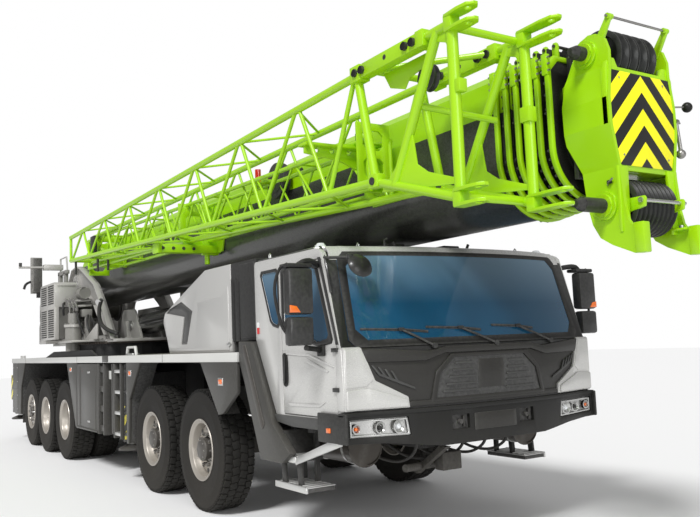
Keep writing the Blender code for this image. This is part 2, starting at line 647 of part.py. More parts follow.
def operator_cab(parent):
    inner_y, outer_y = 0.66, 1.45
    outline = [(-6.00, 1.80), (-6.00, 3.28), (-4.75, 3.28), (-4.40, 2.70), (-4.40, 2.05), (-4.62, 1.80)]
    room = [(-5.96, 1.84), (-5.96, 3.24), (-4.77, 3.24), (-4.44, 2.69), (-4.44, 2.07), (-4.64, 1.84)]
    shell = flat("XZ", (inner_y, outer_y), outline)
    hollow = flat("XZ", (inner_y + 0.04, outer_y - 0.04), room)
    doorway = box((-5.80, -5.02), (outer_y - 0.06, outer_y + 0.02), (1.88, 3.16))
    right_window = box((-5.80, -4.95), (inner_y - 0.02, inner_y + 0.06), (2.45, 3.10))
    front_window = box((-4.66, -4.30), (inner_y + 0.07, outer_y - 0.07), (2.12, 2.66))
    shell = minus(shell, hollow, doorway, right_window, front_window)
    seat = box((-5.70, -5.25), (0.85, 1.27), (1.83, 2.30))
    back = box((-5.78, -5.66), (0.85, 1.27), (2.20, 2.85))
    console = box((-4.85, -4.60), (0.80, 1.30), (1.83, 2.40))
    part("operator_cab", union(shell, seat, back, console), "silver_white", None, parent)
    leaf = box((-5.86, -4.96), (outer_y + RUNNING, outer_y + 0.03), (1.86, 3.18))
    window = box((-5.78, -5.04), (outer_y - 0.02, outer_y + 0.06), (2.35, 3.10))
    part("operator_cab_door", minus(leaf, window), "silver_white", (-5.41, outer_y, 2.5), parent)


# ---------------------------------------------------------------- luffing cylinder
def luffing_cylinder(parent):
    foot = Vector((CYLINDER_FOOT[0], 0, CYLINDER_FOOT[1]))
    eye = Vector((CYLINDER_EYE[0], 0, CYLINDER_EYE[1]))
    along = (eye - foot).normalized()
    mouth = foot + along * 3.45
    body = bar(tuple(foot + along * 0.25), tuple(mouth), BARREL_R, 16)
    foot_eye = bar((foot.x, -0.15, foot.z), (foot.x, 0.15, foot.z), 0.16, 16)
    neck = bar(tuple(foot + along * 0.05), tuple(foot + along * 0.30), 0.13, 12)
    bore = bar(tuple(foot + along * 0.45), tuple(mouth + along * 0.05), ROD_R + RUNNING, 16)
    barrel = part("luff_barrel", minus(union(body, foot_eye, neck), bore), "boom_dark", tuple(foot), parent)
    stem = bar(tuple(foot + along * 0.55), tuple(eye - along * 0.05), ROD_R, 16)
    rod_eye = bar((eye.x, -0.15, eye.z), (eye.x, 0.15, eye.z), 0.15, 16)
    part("luff_rod", union(stem, rod_eye), "steel", tuple(eye), barrel)


# ---------------------------------------------------------------- boom
def boom_loop(shrink):
    """Boom cross-section: chamfered flat top and a round underside, pulled in by shrink."""
    half = BOOM_HALF - shrink
    top = BOOM_TOP - shrink
    low = BOOM_LOW + shrink
    chamfer = 0.08
    depth = BOOM_WAIST - low
    points = [(-half + chamfer, top), (half - chamfer, top), (half, top - chamfer)]
    arc_steps = 8
    for step in range(arc_steps + 1):
        angle = math.pi * step / arc_steps
        points.append((half * math.cos(angle), BOOM_WAIST - depth * math.sin(angle)))
    points.append((-half, top - chamfer))
    return points


def collar(number, front_x):
    """The stiff U-shaped rim at the front end of a section."""
    shrink = BOOM_STEP * (number - 1)
    swell = 0.034 - 0.012 * (number - 1)
    return flat("YZ", (front_x - COLLAR_T, front_x), boom_loop(-swell), boom_loop(shrink + BOOM_WALL))


def boom_tube(number, rear_x, front_x):
    shrink = BOOM_STEP * (number - 1)
    return flat("YZ", (rear_x, front_x), boom_loop(shrink), boom_loop(shrink + BOOM_WALL))


def heel(number, rear_x):
    """The rear slide shoes: a short sleeve that runs in the next larger section."""
    shrink = BOOM_STEP * (number - 1)
    grow = BOOM_STEP - BOOM_WALL - RUNNING
    return flat("YZ", (rear_x, rear_x + 0.25), boom_loop(shrink - grow), boom_loop(shrink + BOOM_WALL))


def collar_front(number):
    return COLLAR_X + COLLAR_T + COLLAR_PITCH * (number - 1)


def section_rear(number):
    return -7.90 + 0.08 * (number - 2)


def boom_base(parent):
    rear_x = -8.60
    tube = boom_tube(1, rear_x, collar_front(1) - 0.01)
    taper = flat("XZ", (-1, 1), [(-8.70, 3.95), (-7.75, 3.95), (-8.05, 3.84), (-8.62, 3.42), (-8.70, 3.42)])
    under = flat("XZ", (-1, 1), [(-8.70, 2.60), (-8.35, 2.60), (-8.62, 2.85), (-8.70, 2.85)])
    back = flat("YZ", (-8.60, -8.54), [(-0.45, 2.92), (0.45, 2.92), (0.45, 3.45), (-0.45, 3.45)])
    tube = union(minus(tube, taper, under), back)
    pieces = [collar(1, collar_front(1))]
    for _, side in SIDES:
        boss = beside(side, BOOM_HALF - 0.012, CHEEK_Y - RUNNING)
        pieces.append(bar((PIVOT[0], boss[0], PIVOT[1]), (PIVOT[0], boss[1], PIVOT[1]), 0.22, 16))
        lug = [(-2.75, 2.72), (-2.38, 2.22), (-2.10, 2.20), (-1.98, 2.32), (-1.70, 2.72)]
        pieces.append(flat("XZ", beside(side, 0.15 + RUNNING, 0.20), lug))
    return part("boom_base", union(tube, *pieces), "lime", (PIVOT[0], 0, PIVOT[1]), parent)


def boom_section(number, parent):
    front_x = collar_front(number)
    rear_x = section_rear(number)
    tube = boom_tube(number, rear_x, front_x - 0.01)
    solid = union(tube, heel(number, rear_x), collar(number, front_x))
    return part("boom_section_%d" % number, solid, "lime", (rear_x, 0, BOOM_WAIST), parent)


HEAD_OUTLINE = [(4.86, 3.72), (4.72, 3.86), (4.60, 3.84), (4.50, 3.62), (4.44, 3.40), (4.44, 3.10),
                (4.54, 2.88), (4.57, 2.62), (4.70, 2.38), (4.96, 2.264), (5.03, 2.264), (5.03, 2.456),
                (4.92, 2.47), (4.86, 2.60), (4.845, 2.886), (4.845, 3.576)]


def boom_head(parent):
    rear_x = section_rear(7)
    tube = boom_tube(7, rear_x, 4.50)
    pieces = [heel(7, rear_x)]
    for _, side in SIDES:
        pieces.append(flat("XZ", beside(side, 0.30, 0.36), HEAD_OUTLINE))
        pieces.append(bar((4.74, side * 0.33, 3.74), (4.87, side * 0.29, 3.95), 0.025, 6))
    pieces.append(box((4.45, 4.52), (-0.33, 0.33), (2.86, 3.50)))
    pieces.append(box((4.815, 4.845), (-0.33, 0.33), (2.886, 3.50)))
    pieces.append(box((4.60, 4.83), (-0.33, 0.33), (2.886, 2.92)))
    pieces.append(bar((4.868, -0.32, 3.948), (4.868, 0.32, 3.948), 0.014, 6))
    for pin_x, pin_z in (SHEAVE_TOP, SHEAVE_LOW):
        pieces.append(bar((pin_x, -0.35, pin_z), (pin_x, -0.60, pin_z), 0.05, 12))
    return part("boom_head", union(tube, *pieces), "lime", (rear_x, 0, BOOM_WAIST), parent)


def sheaves(parent):
    for name, (x, z), half in (("sheaves_upper", SHEAVE_TOP, 0.19), ("sheaves_lower", SHEAVE_LOW, 0.25)):
        hub = bar((x, -0.30 + RUNNING, z), (x, 0.30 - RUNNING, z), 0.07, 12)
        rim = bar((x, -half, z), (x, half, z), SHEAVE_R, 20)
        part(name, union(hub, rim), "rubber", (x, 0, z), parent)


# ---------------------------------------------------------------- stowed lattice jib
def lattice(front, rear, bays, chord_r, lace_r):
    """Four chords with zigzag lacing; each end is (x, (y outer, y inner), (z low, z high))."""
    def corner(fraction, outer, high):
        x = front[0] + (rear[0] - front[0]) * fraction
        y_pair = [front[1][i] + (rear[1][i] - front[1][i]) * fraction for i in (0, 1)]
        z_pair = [front[2][i] + (rear[2][i] - front[2][i]) * fraction for i in (0, 1)]
        return (x, y_pair[0] if outer else y_pair[1], z_pair[1] if high else z_pair[0])

    bars = []
    for outer in (True, False):
        for high in (True, False):
            bars.append(bar(corner(0, outer, high), corner(1, outer, high), chord_r, 4))
    faces = (((True, False), (True, True)), ((False, False), (False, True)), ((True, True), (False, True)),
             ((True, False), (False, False)))
    for bay in range(bays):
        for first, second in faces:
            start, end = (first, second) if bay % 2 else (second, first)
            bars.append(bar(corner(bay / bays, *start), corner((bay + 1) / bays, *end), lace_r, 4))
    for fraction in (0, 1):
        for first, second in faces:
            bars.append(bar(corner(fraction, *first), corner(fraction, *second), chord_r * 0.9, 4))
    return bars


def jib(parent):
    """The outer lattice section, the smaller one folded beside it, and the brackets to the boom."""
    outer = lattice((4.45, (-1.40, -0.73), (2.74, 3.86)), (-5.83, (-1.36, -1.00), (3.34, 3.74)),
                    6, 0.035, 0.02)
    inner = lattice((2.60, (-0.84, -0.60), (3.10, 3.55)), (-6.20, (-0.96, -0.60), (3.24, 3.74)),
                    4, 0.025, 0.016)
    pieces = outer + inner
    for lug_y in (-1.40, -0.73):
        for lug_z in (2.70, 3.86):
            lugs = [(4.40, lug_z - 0.06), (4.80, lug_z - 0.06), (4.80, lug_z - 0.03), (4.48, lug_z - 0.03),
                    (4.48, lug_z + 0.03), (4.80, lug_z + 0.03), (4.80, lug_z + 0.06), (4.40, lug_z + 0.06)]
            pieces.append(flat("XZ", (lug_y - 0.05, lug_y + 0.05), lugs))
    holds = ((2.30, 0.82, 2.84, 3.86), (-1.60, 0.93, 3.07, 3.81), (-5.60, 1.03, 3.21, 3.77))
    for hold_x, reach, low, high in holds:
        pieces.append(box((hold_x, hold_x + 0.05), (-reach, -BOOM_HALF - GAP), (low, high)))
    first, *others = pieces
    return part("jib", union(first, *others), "lime", None, parent)


# ---------------------------------------------------------------- assembly
chassis_frame()
deck()
engine()
engine_housing()
carrier_cab()
boom_rest()
windshield()
grille_panel()
bumper()
cab_interior()
doors()
for axle_number, axle_x in enumerate(AXLE_STEPS, start=1):
    if axle_number <= 2:
        steered_axle(axle_number, axle_x)
    else:
        fixed_axle(axle_number, axle_x, twin=axle_number < 5)
outriggers()
table = turntable()
counterweight(table)
winch(table)
operator_cab(table)
luffing_cylinder(table)
outer_section = boom_base(table)
base = outer_section
for section_number in range(2, 7):
    outer_section = boom_section(section_number, outer_section)
head = boom_head(outer_section)
sheaves(head)
jib(base)
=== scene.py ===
"""A truck-mounted telescopic crane: five axles, seven boom sections and a lattice jib stowed beside the boom.

Metres, +X forward, +Y left, +Z up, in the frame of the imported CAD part. Each section below makes one piece,
or one group of like pieces, in the order in which the machine is put together.
"""

import math

import bmesh
import bpy
from mathutils import Matrix, Vector


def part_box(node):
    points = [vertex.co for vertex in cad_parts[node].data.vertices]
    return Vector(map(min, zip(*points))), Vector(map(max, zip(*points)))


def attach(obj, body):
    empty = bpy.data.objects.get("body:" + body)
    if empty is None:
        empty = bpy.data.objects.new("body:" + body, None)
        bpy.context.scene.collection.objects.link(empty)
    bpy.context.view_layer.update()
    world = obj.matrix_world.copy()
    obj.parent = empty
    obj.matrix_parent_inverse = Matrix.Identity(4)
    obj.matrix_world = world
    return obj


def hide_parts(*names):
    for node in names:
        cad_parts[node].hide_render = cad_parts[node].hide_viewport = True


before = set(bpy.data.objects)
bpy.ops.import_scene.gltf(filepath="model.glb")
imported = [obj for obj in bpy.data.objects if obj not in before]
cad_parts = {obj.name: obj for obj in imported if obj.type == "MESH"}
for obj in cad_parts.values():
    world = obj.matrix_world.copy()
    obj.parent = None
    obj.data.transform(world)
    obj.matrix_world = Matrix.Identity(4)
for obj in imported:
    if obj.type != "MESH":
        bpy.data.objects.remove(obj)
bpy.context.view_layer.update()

# ------------------------------------------------------------------------------ studio
# A pale floor under the machine, a white surround, one broad soft light high on the right and a weaker one
# in front. The camera stands low in front of the right corner, with a slight tilt.
CAMERA_PLACE = Vector((11.269, -4.897, 1.746))
CAMERA_YAW, CAMERA_PITCH, CAMERA_ROLL = math.radians(147.09), math.radians(5.87), math.radians(-2.40)
FLOOR_HALF = 60.0


def facing(yaw, pitch, roll):
    """A camera's rotation: level directions from the yaw, then the pitch and the roll."""
    ahead = Vector((math.cos(pitch) * math.cos(yaw), math.cos(pitch) * math.sin(yaw), math.sin(pitch)))
    level_right = ahead.cross(Vector((0, 0, 1))).normalized()
    level_up = level_right.cross(ahead)
    right = level_right * math.cos(roll) + level_up * math.sin(roll)
    up = level_up * math.cos(roll) - level_right * math.sin(roll)
    return Matrix((right, up, -ahead)).transposed()


camera = bpy.data.objects.new("camera", bpy.data.cameras.new("camera"))
camera.data.lens = 41.84
camera.data.sensor_width = 36.0
camera.data.clip_end = 200.0
camera.matrix_world = Matrix.Translation(CAMERA_PLACE) @ facing(CAMERA_YAW, CAMERA_PITCH,
    CAMERA_ROLL).to_4x4()
bpy.context.scene.collection.objects.link(camera)
bpy.context.scene.camera = camera
bpy.context.scene.view_settings.view_transform = "Standard"

floor_mesh = bpy.data.meshes.new("floor")
corners = [(-FLOOR_HALF, -FLOOR_HALF, 0), (FLOOR_HALF, -FLOOR_HALF, 0), (FLOOR_HALF, FLOOR_HALF, 0),
    (-FLOOR_HALF, FLOOR_HALF, 0)]
floor_mesh.from_pydata(corners, [], [(0, 1, 2, 3)])
studio_floor = bpy.data.objects.new("studio_floor", floor_mesh)
bpy.context.scene.collection.objects.link(studio_floor)
floor_paint = bpy.data.materials.new("pale_floor")
floor_paint.use_nodes = True
floor_inputs = floor_paint.node_tree.nodes["Principled BSDF"].inputs
floor_inputs["Base Color"].default_value = (0.88, 0.88, 0.88, 1)
floor_inputs["Roughness"].default_value = 0.7
floor_mesh.materials.append(floor_paint)

WHITE = (1.0, 1.0, 1.0, 1)
world = bpy.data.worlds.new("white_surround")
world.use_nodes = True
nodes, links = world.node_tree.nodes, world.node_tree.links
lit_world, seen_world = nodes["Background"], nodes.new("ShaderNodeBackground")
for background, strength in ((lit_world, 0.40), (seen_world, 1.0)):
    background.inputs["Color"].default_value = WHITE
    background.inputs["Strength"].default_value = strength
ray, choose = nodes.new("ShaderNodeLightPath"), nodes.new("ShaderNodeMixShader")
links.new(ray.outputs["Is Camera Ray"], choose.inputs["Fac"])
links.new(lit_world.outputs["Background"], choose.inputs[1])
links.new(seen_world.outputs["Background"], choose.inputs[2])
links.new(choose.outputs["Shader"], nodes["World Output"].inputs["Surface"])
bpy.context.scene.world = world


def studio_sun(name, direction, strength, spread):
    """A far light that shines along a direction; the spread in degrees softens its shadows."""
    lamp = bpy.data.lights.new(name, "SUN")
    lamp.energy = strength
    lamp.angle = math.radians(spread)
    holder = bpy.data.objects.new(name, lamp)
    holder.rotation_euler = Vector(direction).to_track_quat("-Z", "Y").to_euler()
    bpy.context.scene.collection.objects.link(holder)


studio_sun("key_light", (-0.42, 0.62, -0.85), 2.7, 14)
studio_sun("front_light", (-0.9, 0.20, -0.22), 0.9, 30)


# ------------------------------------------------------------------------------ chassis frame
# The welded box girder, the narrower front rails, the outrigger boxes and the slew ring's seat are one
# black-painted steel weldment. Aluminium footsteps, a round air tank and brake hoses are bolted to it.
AXLE_1_X = sum(corner.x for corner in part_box("axle_1")) / 2
SIDES = (("right", -1), ("left", 1))


def at(x):
    """World x of a place measured from the first axle."""
    return AXLE_1_X + x


def spot(x, y, z):
    """A move to a place, its x measured from the first axle."""
    return Matrix.Translation((at(x), y, z))


def around(middle, reach):
    """The (low, high) values that lie a reach to each side of a middle."""
    return (middle - reach, middle + reach)


def beside(side, inner, outer):
    """The (low, high) y of something between inner and outer on one side; side is -1 or 1."""
    return (inner, outer) if side > 0 else (-outer, -inner)


def strip(start, end, shift, start_shift=None):
    """A four-cornered outline: a line, and the same line shifted, as the edge of a plate seen end on."""
    near = start_shift or shift
    return [start, end, (end[0] + shift[0], end[1] + shift[1]), (start[0] + near[0], start[1] + near[1])]


def repaint(node_name, material):
    """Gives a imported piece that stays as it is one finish."""
    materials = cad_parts[node_name].data.materials
    materials.clear()
    materials.append(material)


def shape_mesh(bm, rounding=0.0):
    """A small shape's mesh, its sharp edges rounded first."""
    if rounding:
        sharp = [edge for edge in bm.edges if len(edge.link_faces) == 2 and edge.calc_face_angle(0) > 0.5]
        bmesh.ops.bevel(bm, geom=sharp, offset=rounding, segments=2, profile=0.5, affect="EDGES",
            clamp_overlap=True)
    mesh = bpy.data.meshes.new("shape")
    bm.to_mesh(mesh)
    bm.free()
    return mesh


def block(x, y, z, rounding=0.004):
    """A block between the two values of each pair, with rounded edges."""
    bm = bmesh.new()
    bmesh.ops.create_cube(bm, size=1.0)
    size = Matrix.Diagonal((x[1] - x[0], y[1] - y[0], z[1] - z[0], 1.0))
    bm.transform(spot((x[0] + x[1]) / 2, (y[0] + y[1]) / 2, (z[0] + z[1]) / 2) @ size)
    return shape_mesh(bm, rounding)


def rod(start, end, radius, sides=20, end_radius=None, rounding=0.0):
    """A round bar or cone from start to end."""
    first, last = Vector((at(start[0]), *start[1:])), Vector((at(end[0]), *end[1:]))
    bm = bmesh.new()
    bmesh.ops.create_cone(bm, cap_ends=True, segments=sides, radius1=radius,
        radius2=radius if end_radius is None else end_radius, depth=(last - first).length)
    turn = (last - first).to_track_quat("Z", "Y").to_matrix().to_4x4()
    bm.transform(Matrix.Translation((first + last) / 2) @ turn)
    return shape_mesh(bm, rounding)


def cross_rod(x, y, z, *more, **options):
    """A round bar that lies across the machine between two values of y."""
    return rod((x, y[0], z), (x, y[1], z), *more, **options)


def post(x, y, z, *more, **options):
    """A round bar that stands upright between two values of z."""
    return rod((x, y, z[0]), (x, y, z[1]), *more, **options)


def curve_mesh(curve, place=Matrix.Identity(4)):
    """A curve's finished surface as a mesh."""
    holder = bpy.data.objects.new("outline", curve)
    bpy.context.scene.collection.objects.link(holder)
    bpy.context.view_layer.update()
    mesh = bpy.data.meshes.new_from_object(holder.evaluated_get(bpy.context.evaluated_depsgraph_get()))
    mesh.transform(place)
    bpy.data.objects.remove(holder)
    return mesh


PLANES = {"XZ": Matrix(((1, 0, 0, 0), (0, 0, -1, 0), (0, 1, 0, 0), (0, 0, 0, 1))),
    "YZ": Matrix(((0, 0, 1, 0), (1, 0, 0, 0), (0, 1, 0, 0), (0, 0, 0, 1))), "XY": Matrix.Identity(4)}


def plate(plane, depth, *loops, rounding=0.004):
    """A flat outline (and its holes) in a plane, extruded over depth, with rounded edges."""
    curve = bpy.data.curves.new("outline", "CURVE")
    curve.dimensions = "2D"
    curve.fill_mode = "BOTH"
    curve.extrude = abs(depth[1] - depth[0]) / 2
    for loop in loops:
        spline = curve.splines.new("POLY")
        spline.points.add(len(loop) - 1)
        spline.use_cyclic_u = True
        for point, (u, v) in zip(spline.points, loop):
            point.co = (at(u) if plane[0] == "X" else u, v, 0.0, 1.0)
    middle = (depth[0] + depth[1]) / 2
    offset = {"XZ": (0, middle, 0), "YZ": (at(middle), 0, 0), "XY": (0, 0, middle)}[plane]
    flat = curve_mesh(curve, Matrix.Translation(offset) @ PLANES[plane])
    bm = bmesh.new()
    bm.from_mesh(flat)
    bpy.data.meshes.remove(flat)
    bmesh.ops.remove_doubles(bm, verts=bm.verts, dist=0.00002)
    bmesh.ops.dissolve_limit(bm, angle_limit=0.005, verts=bm.verts, edges=bm.edges)
    bmesh.ops.recalc_face_normals(bm, faces=bm.faces)
    return shape_mesh(bm, rounding)


def pipe(points, radius, sides=10, curved=False):
    """A tube through the points, with straight or smoothly curved runs between them."""
    curve = bpy.data.curves.new("run", "CURVE")
    curve.dimensions = "3D"
    curve.bevel_depth = radius
    curve.bevel_resolution = max(1, sides // 4)
    curve.use_fill_caps = True
    curve.resolution_u = 8
    spline = curve.splines.new("BEZIER" if curved else "POLY")
    if curved:
        spline.bezier_points.add(len(points) - 1)
        for knot, (x, y, z) in zip(spline.bezier_points, points):
            knot.co = (at(x), y, z)
            knot.handle_left_type = knot.handle_right_type = "AUTO"
    else:
        spline.points.add(len(points) - 1)
        for knot, (x, y, z) in zip(spline.points, points):
            knot.co = (at(x), y, z, 1.0)
    bm = bmesh.new()
    bm.from_mesh(curve_mesh(curve))
    bmesh.ops.remove_doubles(bm, verts=bm.verts, dist=0.00002)
    bmesh.ops.recalc_face_normals(bm, faces=bm.faces)
    return shape_mesh(bm)


def lathe(profile, place, steps=48, closed=False):
    """A profile of (radius, height) turned about Z, then put in place by a matrix."""
    bm = bmesh.new()
    loop = profile + [profile[0]] if closed else profile
    line = [bm.verts.new((radius, 0.0, height)) for radius, height in loop]
    edges = [bm.edges.new(pair) for pair in zip(line, line[1:])]
    bmesh.ops.spin(bm, geom=line + edges, cent=(0, 0, 0), axis=(0, 0, 1), angle=2 * math.pi, steps=steps)
    bmesh.ops.remove_doubles(bm, verts=bm.verts, dist=0.00003)
    bmesh.ops.recalc_face_normals(bm, faces=bm.faces)
    bm.transform(place)
    return shape_mesh(bm)


def circle(centre, radius, count=16):
    """A round loop of points for an outline or a hole."""
    return [(centre[0] + radius * math.cos(2 * math.pi * i / count),
        centre[1] + radius * math.sin(2 * math.pi * i / count)) for i in range(count)]


class Piece:
    """One visible piece: shapes with their finishes are gathered in one mesh, then given to a body."""

    def __init__(self, name):
        self.name = name
        self.gathered = bmesh.new()
        self.finishes = []

    def add(self, finish, *shapes):
        if finish not in self.finishes:
            self.finishes.append(finish)
        for shape in shapes:
            for polygon in shape.polygons:
                polygon.material_index = self.finishes.index(finish)
            self.gathered.from_mesh(shape)
            bpy.data.meshes.remove(shape)

    def ride(self, body, slot, *replaced):
        mesh = bpy.data.meshes.new(self.name)
        self.gathered.to_mesh(mesh)
        self.gathered.free()
        for finish in self.finishes:
            mesh.materials.append(finish)
        mesh.polygons.foreach_set("use_smooth", [True] * len(mesh.polygons))
        mesh.set_sharp_from_angle(angle=math.radians(32))
        piece = bpy.data.objects.new(self.name, mesh)
        bpy.context.scene.collection.objects.link(piece)
        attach(piece, body)
        if replaced:
            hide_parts(*replaced)
        return piece


def group_socket(tree, name, kind, way, value=None):
    socket = tree.interface.new_socket(name=name, in_out=way, socket_type=kind)
    if value is not None:
        socket.default_value = value


def shader_math(nodes, links):
    """Returns a function that adds a math node for an operation on two values or sockets."""
    def step(operation, first, second=0.0, clamp=False):
        node = nodes.new("ShaderNodeMath")
        node.operation = operation
        node.use_clamp = clamp
        for socket, value in zip(node.inputs, (first, second)):
            if isinstance(value, float):
                socket.default_value = value
            else:
                links.new(value, socket)
        return node.outputs[0]

    return step


def mixed(nodes, links, factor, first, second):
    """A mix of two plain colours or colour sockets; returns the mixed socket."""
    node = nodes.new("ShaderNodeMix")
    node.data_type = "RGBA"
    links.new(factor, node.inputs["Factor"])
    for socket, value in ((node.inputs["A"], first), (node.inputs["B"], second)):
        if isinstance(value, tuple):
            socket.default_value = value
        else:
            links.new(value, socket)
    return node.outputs["Result"]


def surface_group():
    """Shared surface effects: patchy colour, fine grain, dust that gathers low down, and paler edges."""
    tree = bpy.data.node_groups.new("worked_surface", "ShaderNodeTree")
    for name, kind, value in (("Colour", "NodeSocketColor", (0.5, 0.5, 0.5, 1)),
            ("Dust Colour", "NodeSocketColor", (0.30, 0.27, 0.22, 1)),
            ("Roughness", "NodeSocketFloat", 0.4), ("Patchiness", "NodeSocketFloat", 0.06),
            ("Grain Scale", "NodeSocketFloat", 250.0), ("Dust", "NodeSocketFloat", 0.15),
            ("Dust Height", "NodeSocketFloat", 1.2), ("Edge Wear", "NodeSocketFloat", 0.2)):
        group_socket(tree, name, kind, "INPUT", value)
    for name, kind in (("Colour", "NodeSocketColor"), ("Roughness", "NodeSocketFloat"),
            ("Height", "NodeSocketFloat")):
        group_socket(tree, name, kind, "OUTPUT")
    nodes, links = tree.nodes, tree.links
    given, result = nodes.new("NodeGroupInput"), nodes.new("NodeGroupOutput")
    where = nodes.new("ShaderNodeTexCoord")

    def noise(scale, detail):
        node = nodes.new("ShaderNodeTexNoise")
        node.inputs["Detail"].default_value = detail
        if not isinstance(scale, float):
            links.new(scale, node.inputs["Scale"])
        else:
            node.inputs["Scale"].default_value = scale
        links.new(where.outputs["Object"], node.inputs["Vector"])
        return node.outputs["Fac"]

    step = shader_math(nodes, links)
    patches = noise(1.7, 4.0)
    speckle = noise(38.0, 3.0)
    grain = noise(given.outputs["Grain Scale"], 2.0)
    shade = step("MULTIPLY", step("SUBTRACT", patches, 0.5), given.outputs["Patchiness"])
    shade = step("ADD", step("MULTIPLY", shade, 2.0), 1.0)
    toned = nodes.new("ShaderNodeVectorMath")
    toned.operation = "SCALE"
    links.new(given.outputs["Colour"], toned.inputs[0])
    links.new(shade, toned.inputs["Scale"])
    parts = nodes.new("ShaderNodeSeparateXYZ")
    links.new(where.outputs["Object"], parts.inputs[0])
    low = step("SUBTRACT", 1.0, step("DIVIDE", parts.outputs["Z"], given.outputs["Dust Height"]), True)
    upward = nodes.new("ShaderNodeNewGeometry")
    facing_up = nodes.new("ShaderNodeSeparateXYZ")
    links.new(upward.outputs["Normal"], facing_up.inputs[0])
    ledge = step("MULTIPLY", step("MAXIMUM", facing_up.outputs["Z"], 0.0), 0.5)
    gathered = step("MULTIPLY", step("ADD", low, ledge), step("ADD", speckle, patches))
    dusty = step("MULTIPLY", gathered, given.outputs["Dust"], True)
    edge = step("MULTIPLY", step("SUBTRACT", upward.outputs["Pointiness"], 0.53), 9.0, True)
    edge = step("MULTIPLY", step("MULTIPLY", edge, speckle), given.outputs["Edge Wear"], True)
    worn = mixed(nodes, links, edge, toned.outputs[0], (0.75, 0.74, 0.72, 1.0))
    links.new(mixed(nodes, links, dusty, worn, given.outputs["Dust Colour"]), result.inputs["Colour"])
    rough = step("ADD", given.outputs["Roughness"], step("MULTIPLY", dusty, 0.5))
    rough = step("ADD", rough, step("MULTIPLY", step("SUBTRACT", grain, 0.5), 0.12), True)
    links.new(rough, result.inputs["Roughness"])
    links.new(grain, result.inputs["Height"])
    return tree


WORKED_SURFACE = surface_group()


def base_finish(name, shader_values, worked_values, depth, strength):
    """A material: one Principled shader fed by the worked surface. Returns the parts that still vary."""
    made = bpy.data.materials.new(name)
    made.use_nodes = True
    nodes, links = made.node_tree.nodes, made.node_tree.links
    shader, worked = nodes["Principled BSDF"], nodes.new("ShaderNodeGroup")
    bump = nodes.new("ShaderNodeBump")
    worked.node_tree = WORKED_SURFACE
    for inputs, values in ((shader.inputs, shader_values), (worked.inputs, worked_values),
            (bump.inputs, {"Distance": depth, "Strength": strength})):
        for socket, value in values.items():
            inputs[socket].default_value = value
    links.new(worked.outputs["Colour"], shader.inputs["Base Color"])
    links.new(worked.outputs["Roughness"], shader.inputs["Roughness"])
    links.new(bump.outputs["Normal"], shader.inputs["Normal"])
    return made, nodes, links, shader, worked, bump


def finish(name, colour, roughness, metallic=0.0, coat=0.0, grain=250.0, depth=0.0004, patchy=0.05,
        dust=0.12, dust_height=1.2, wear=0.15, pattern=None):
    """A paint, metal or rubber; pattern may colour it or raise it. Dark paints mirror less."""
    sheen = 0.5 if max(colour) > 0.15 or metallic > 0.5 else 0.25
    made, nodes, links, shader, worked, bump = base_finish(name,
        {"Metallic": metallic, "Coat Weight": coat, "Specular IOR Level": sheen, "Coat Roughness": 0.12},
        {"Colour": (*colour, 1.0), "Roughness": roughness, "Patchiness": patchy, "Grain Scale": grain,
        "Dust": dust, "Dust Height": dust_height, "Edge Wear": wear}, depth, 0.6)
    height = worked.outputs["Height"]
    if pattern:
        height = pattern(nodes, links, worked, height, shader)
    links.new(height, bump.inputs["Height"])
    return made


def tread_plate(nodes, links, worked, height, shader):
    """Raised lozenges in two crossing directions, as on aluminium floor plate."""
    where = nodes.new("ShaderNodeTexCoord")
    cells = nodes.new("ShaderNodeTexVoronoi")
    cells.distance = "MANHATTAN"
    cells.inputs["Scale"].default_value = 26.0
    cells.inputs["Randomness"].default_value = 0.0
    links.new(where.outputs["Object"], cells.inputs["Vector"])
    raised = nodes.new("ShaderNodeMapRange")
    raised.inputs["From Min"].default_value = 0.30
    raised.inputs["From Max"].default_value = 0.22
    links.new(cells.outputs["Distance"], raised.inputs["Value"])
    total = nodes.new("ShaderNodeMath")
    total.operation = "MULTIPLY_ADD"
    total.inputs[1].default_value = 6.0
    links.new(raised.outputs["Result"], total.inputs[0])
    links.new(height, total.inputs[2])
    return total.outputs[0]


FRAME_BLACK = finish("frame_black", (0.013, 0.013, 0.0135), 0.45, coat=0.05, dust=0.07)
CAST_IRON = finish("cast_iron", (0.022, 0.021, 0.020), 0.6, grain=90.0, depth=0.0015, dust=0.22)
ALUMINIUM = finish("aluminium_tread", (0.72, 0.72, 0.71), 0.32, metallic=0.85, depth=0.0012, dust=0.15,
    pattern=tread_plate)
BARE_STEEL = finish("bare_steel", (0.56, 0.56, 0.55), 0.28, metallic=0.95, dust=0.05)
TANK_GREY = finish("tank_grey", (0.046, 0.040, 0.034), 0.36, metallic=0.35, coat=0.2, dust=0.08)
RUBBER_HOSE = finish("rubber_hose", (0.012, 0.012, 0.012), 0.55, grain=400.0, dust=0.1)
AMBER = finish("amber_lens", (0.80, 0.16, 0.02), 0.15, coat=0.8, dust=0.0, wear=0.0)

repaint("chassis_frame", FRAME_BLACK)

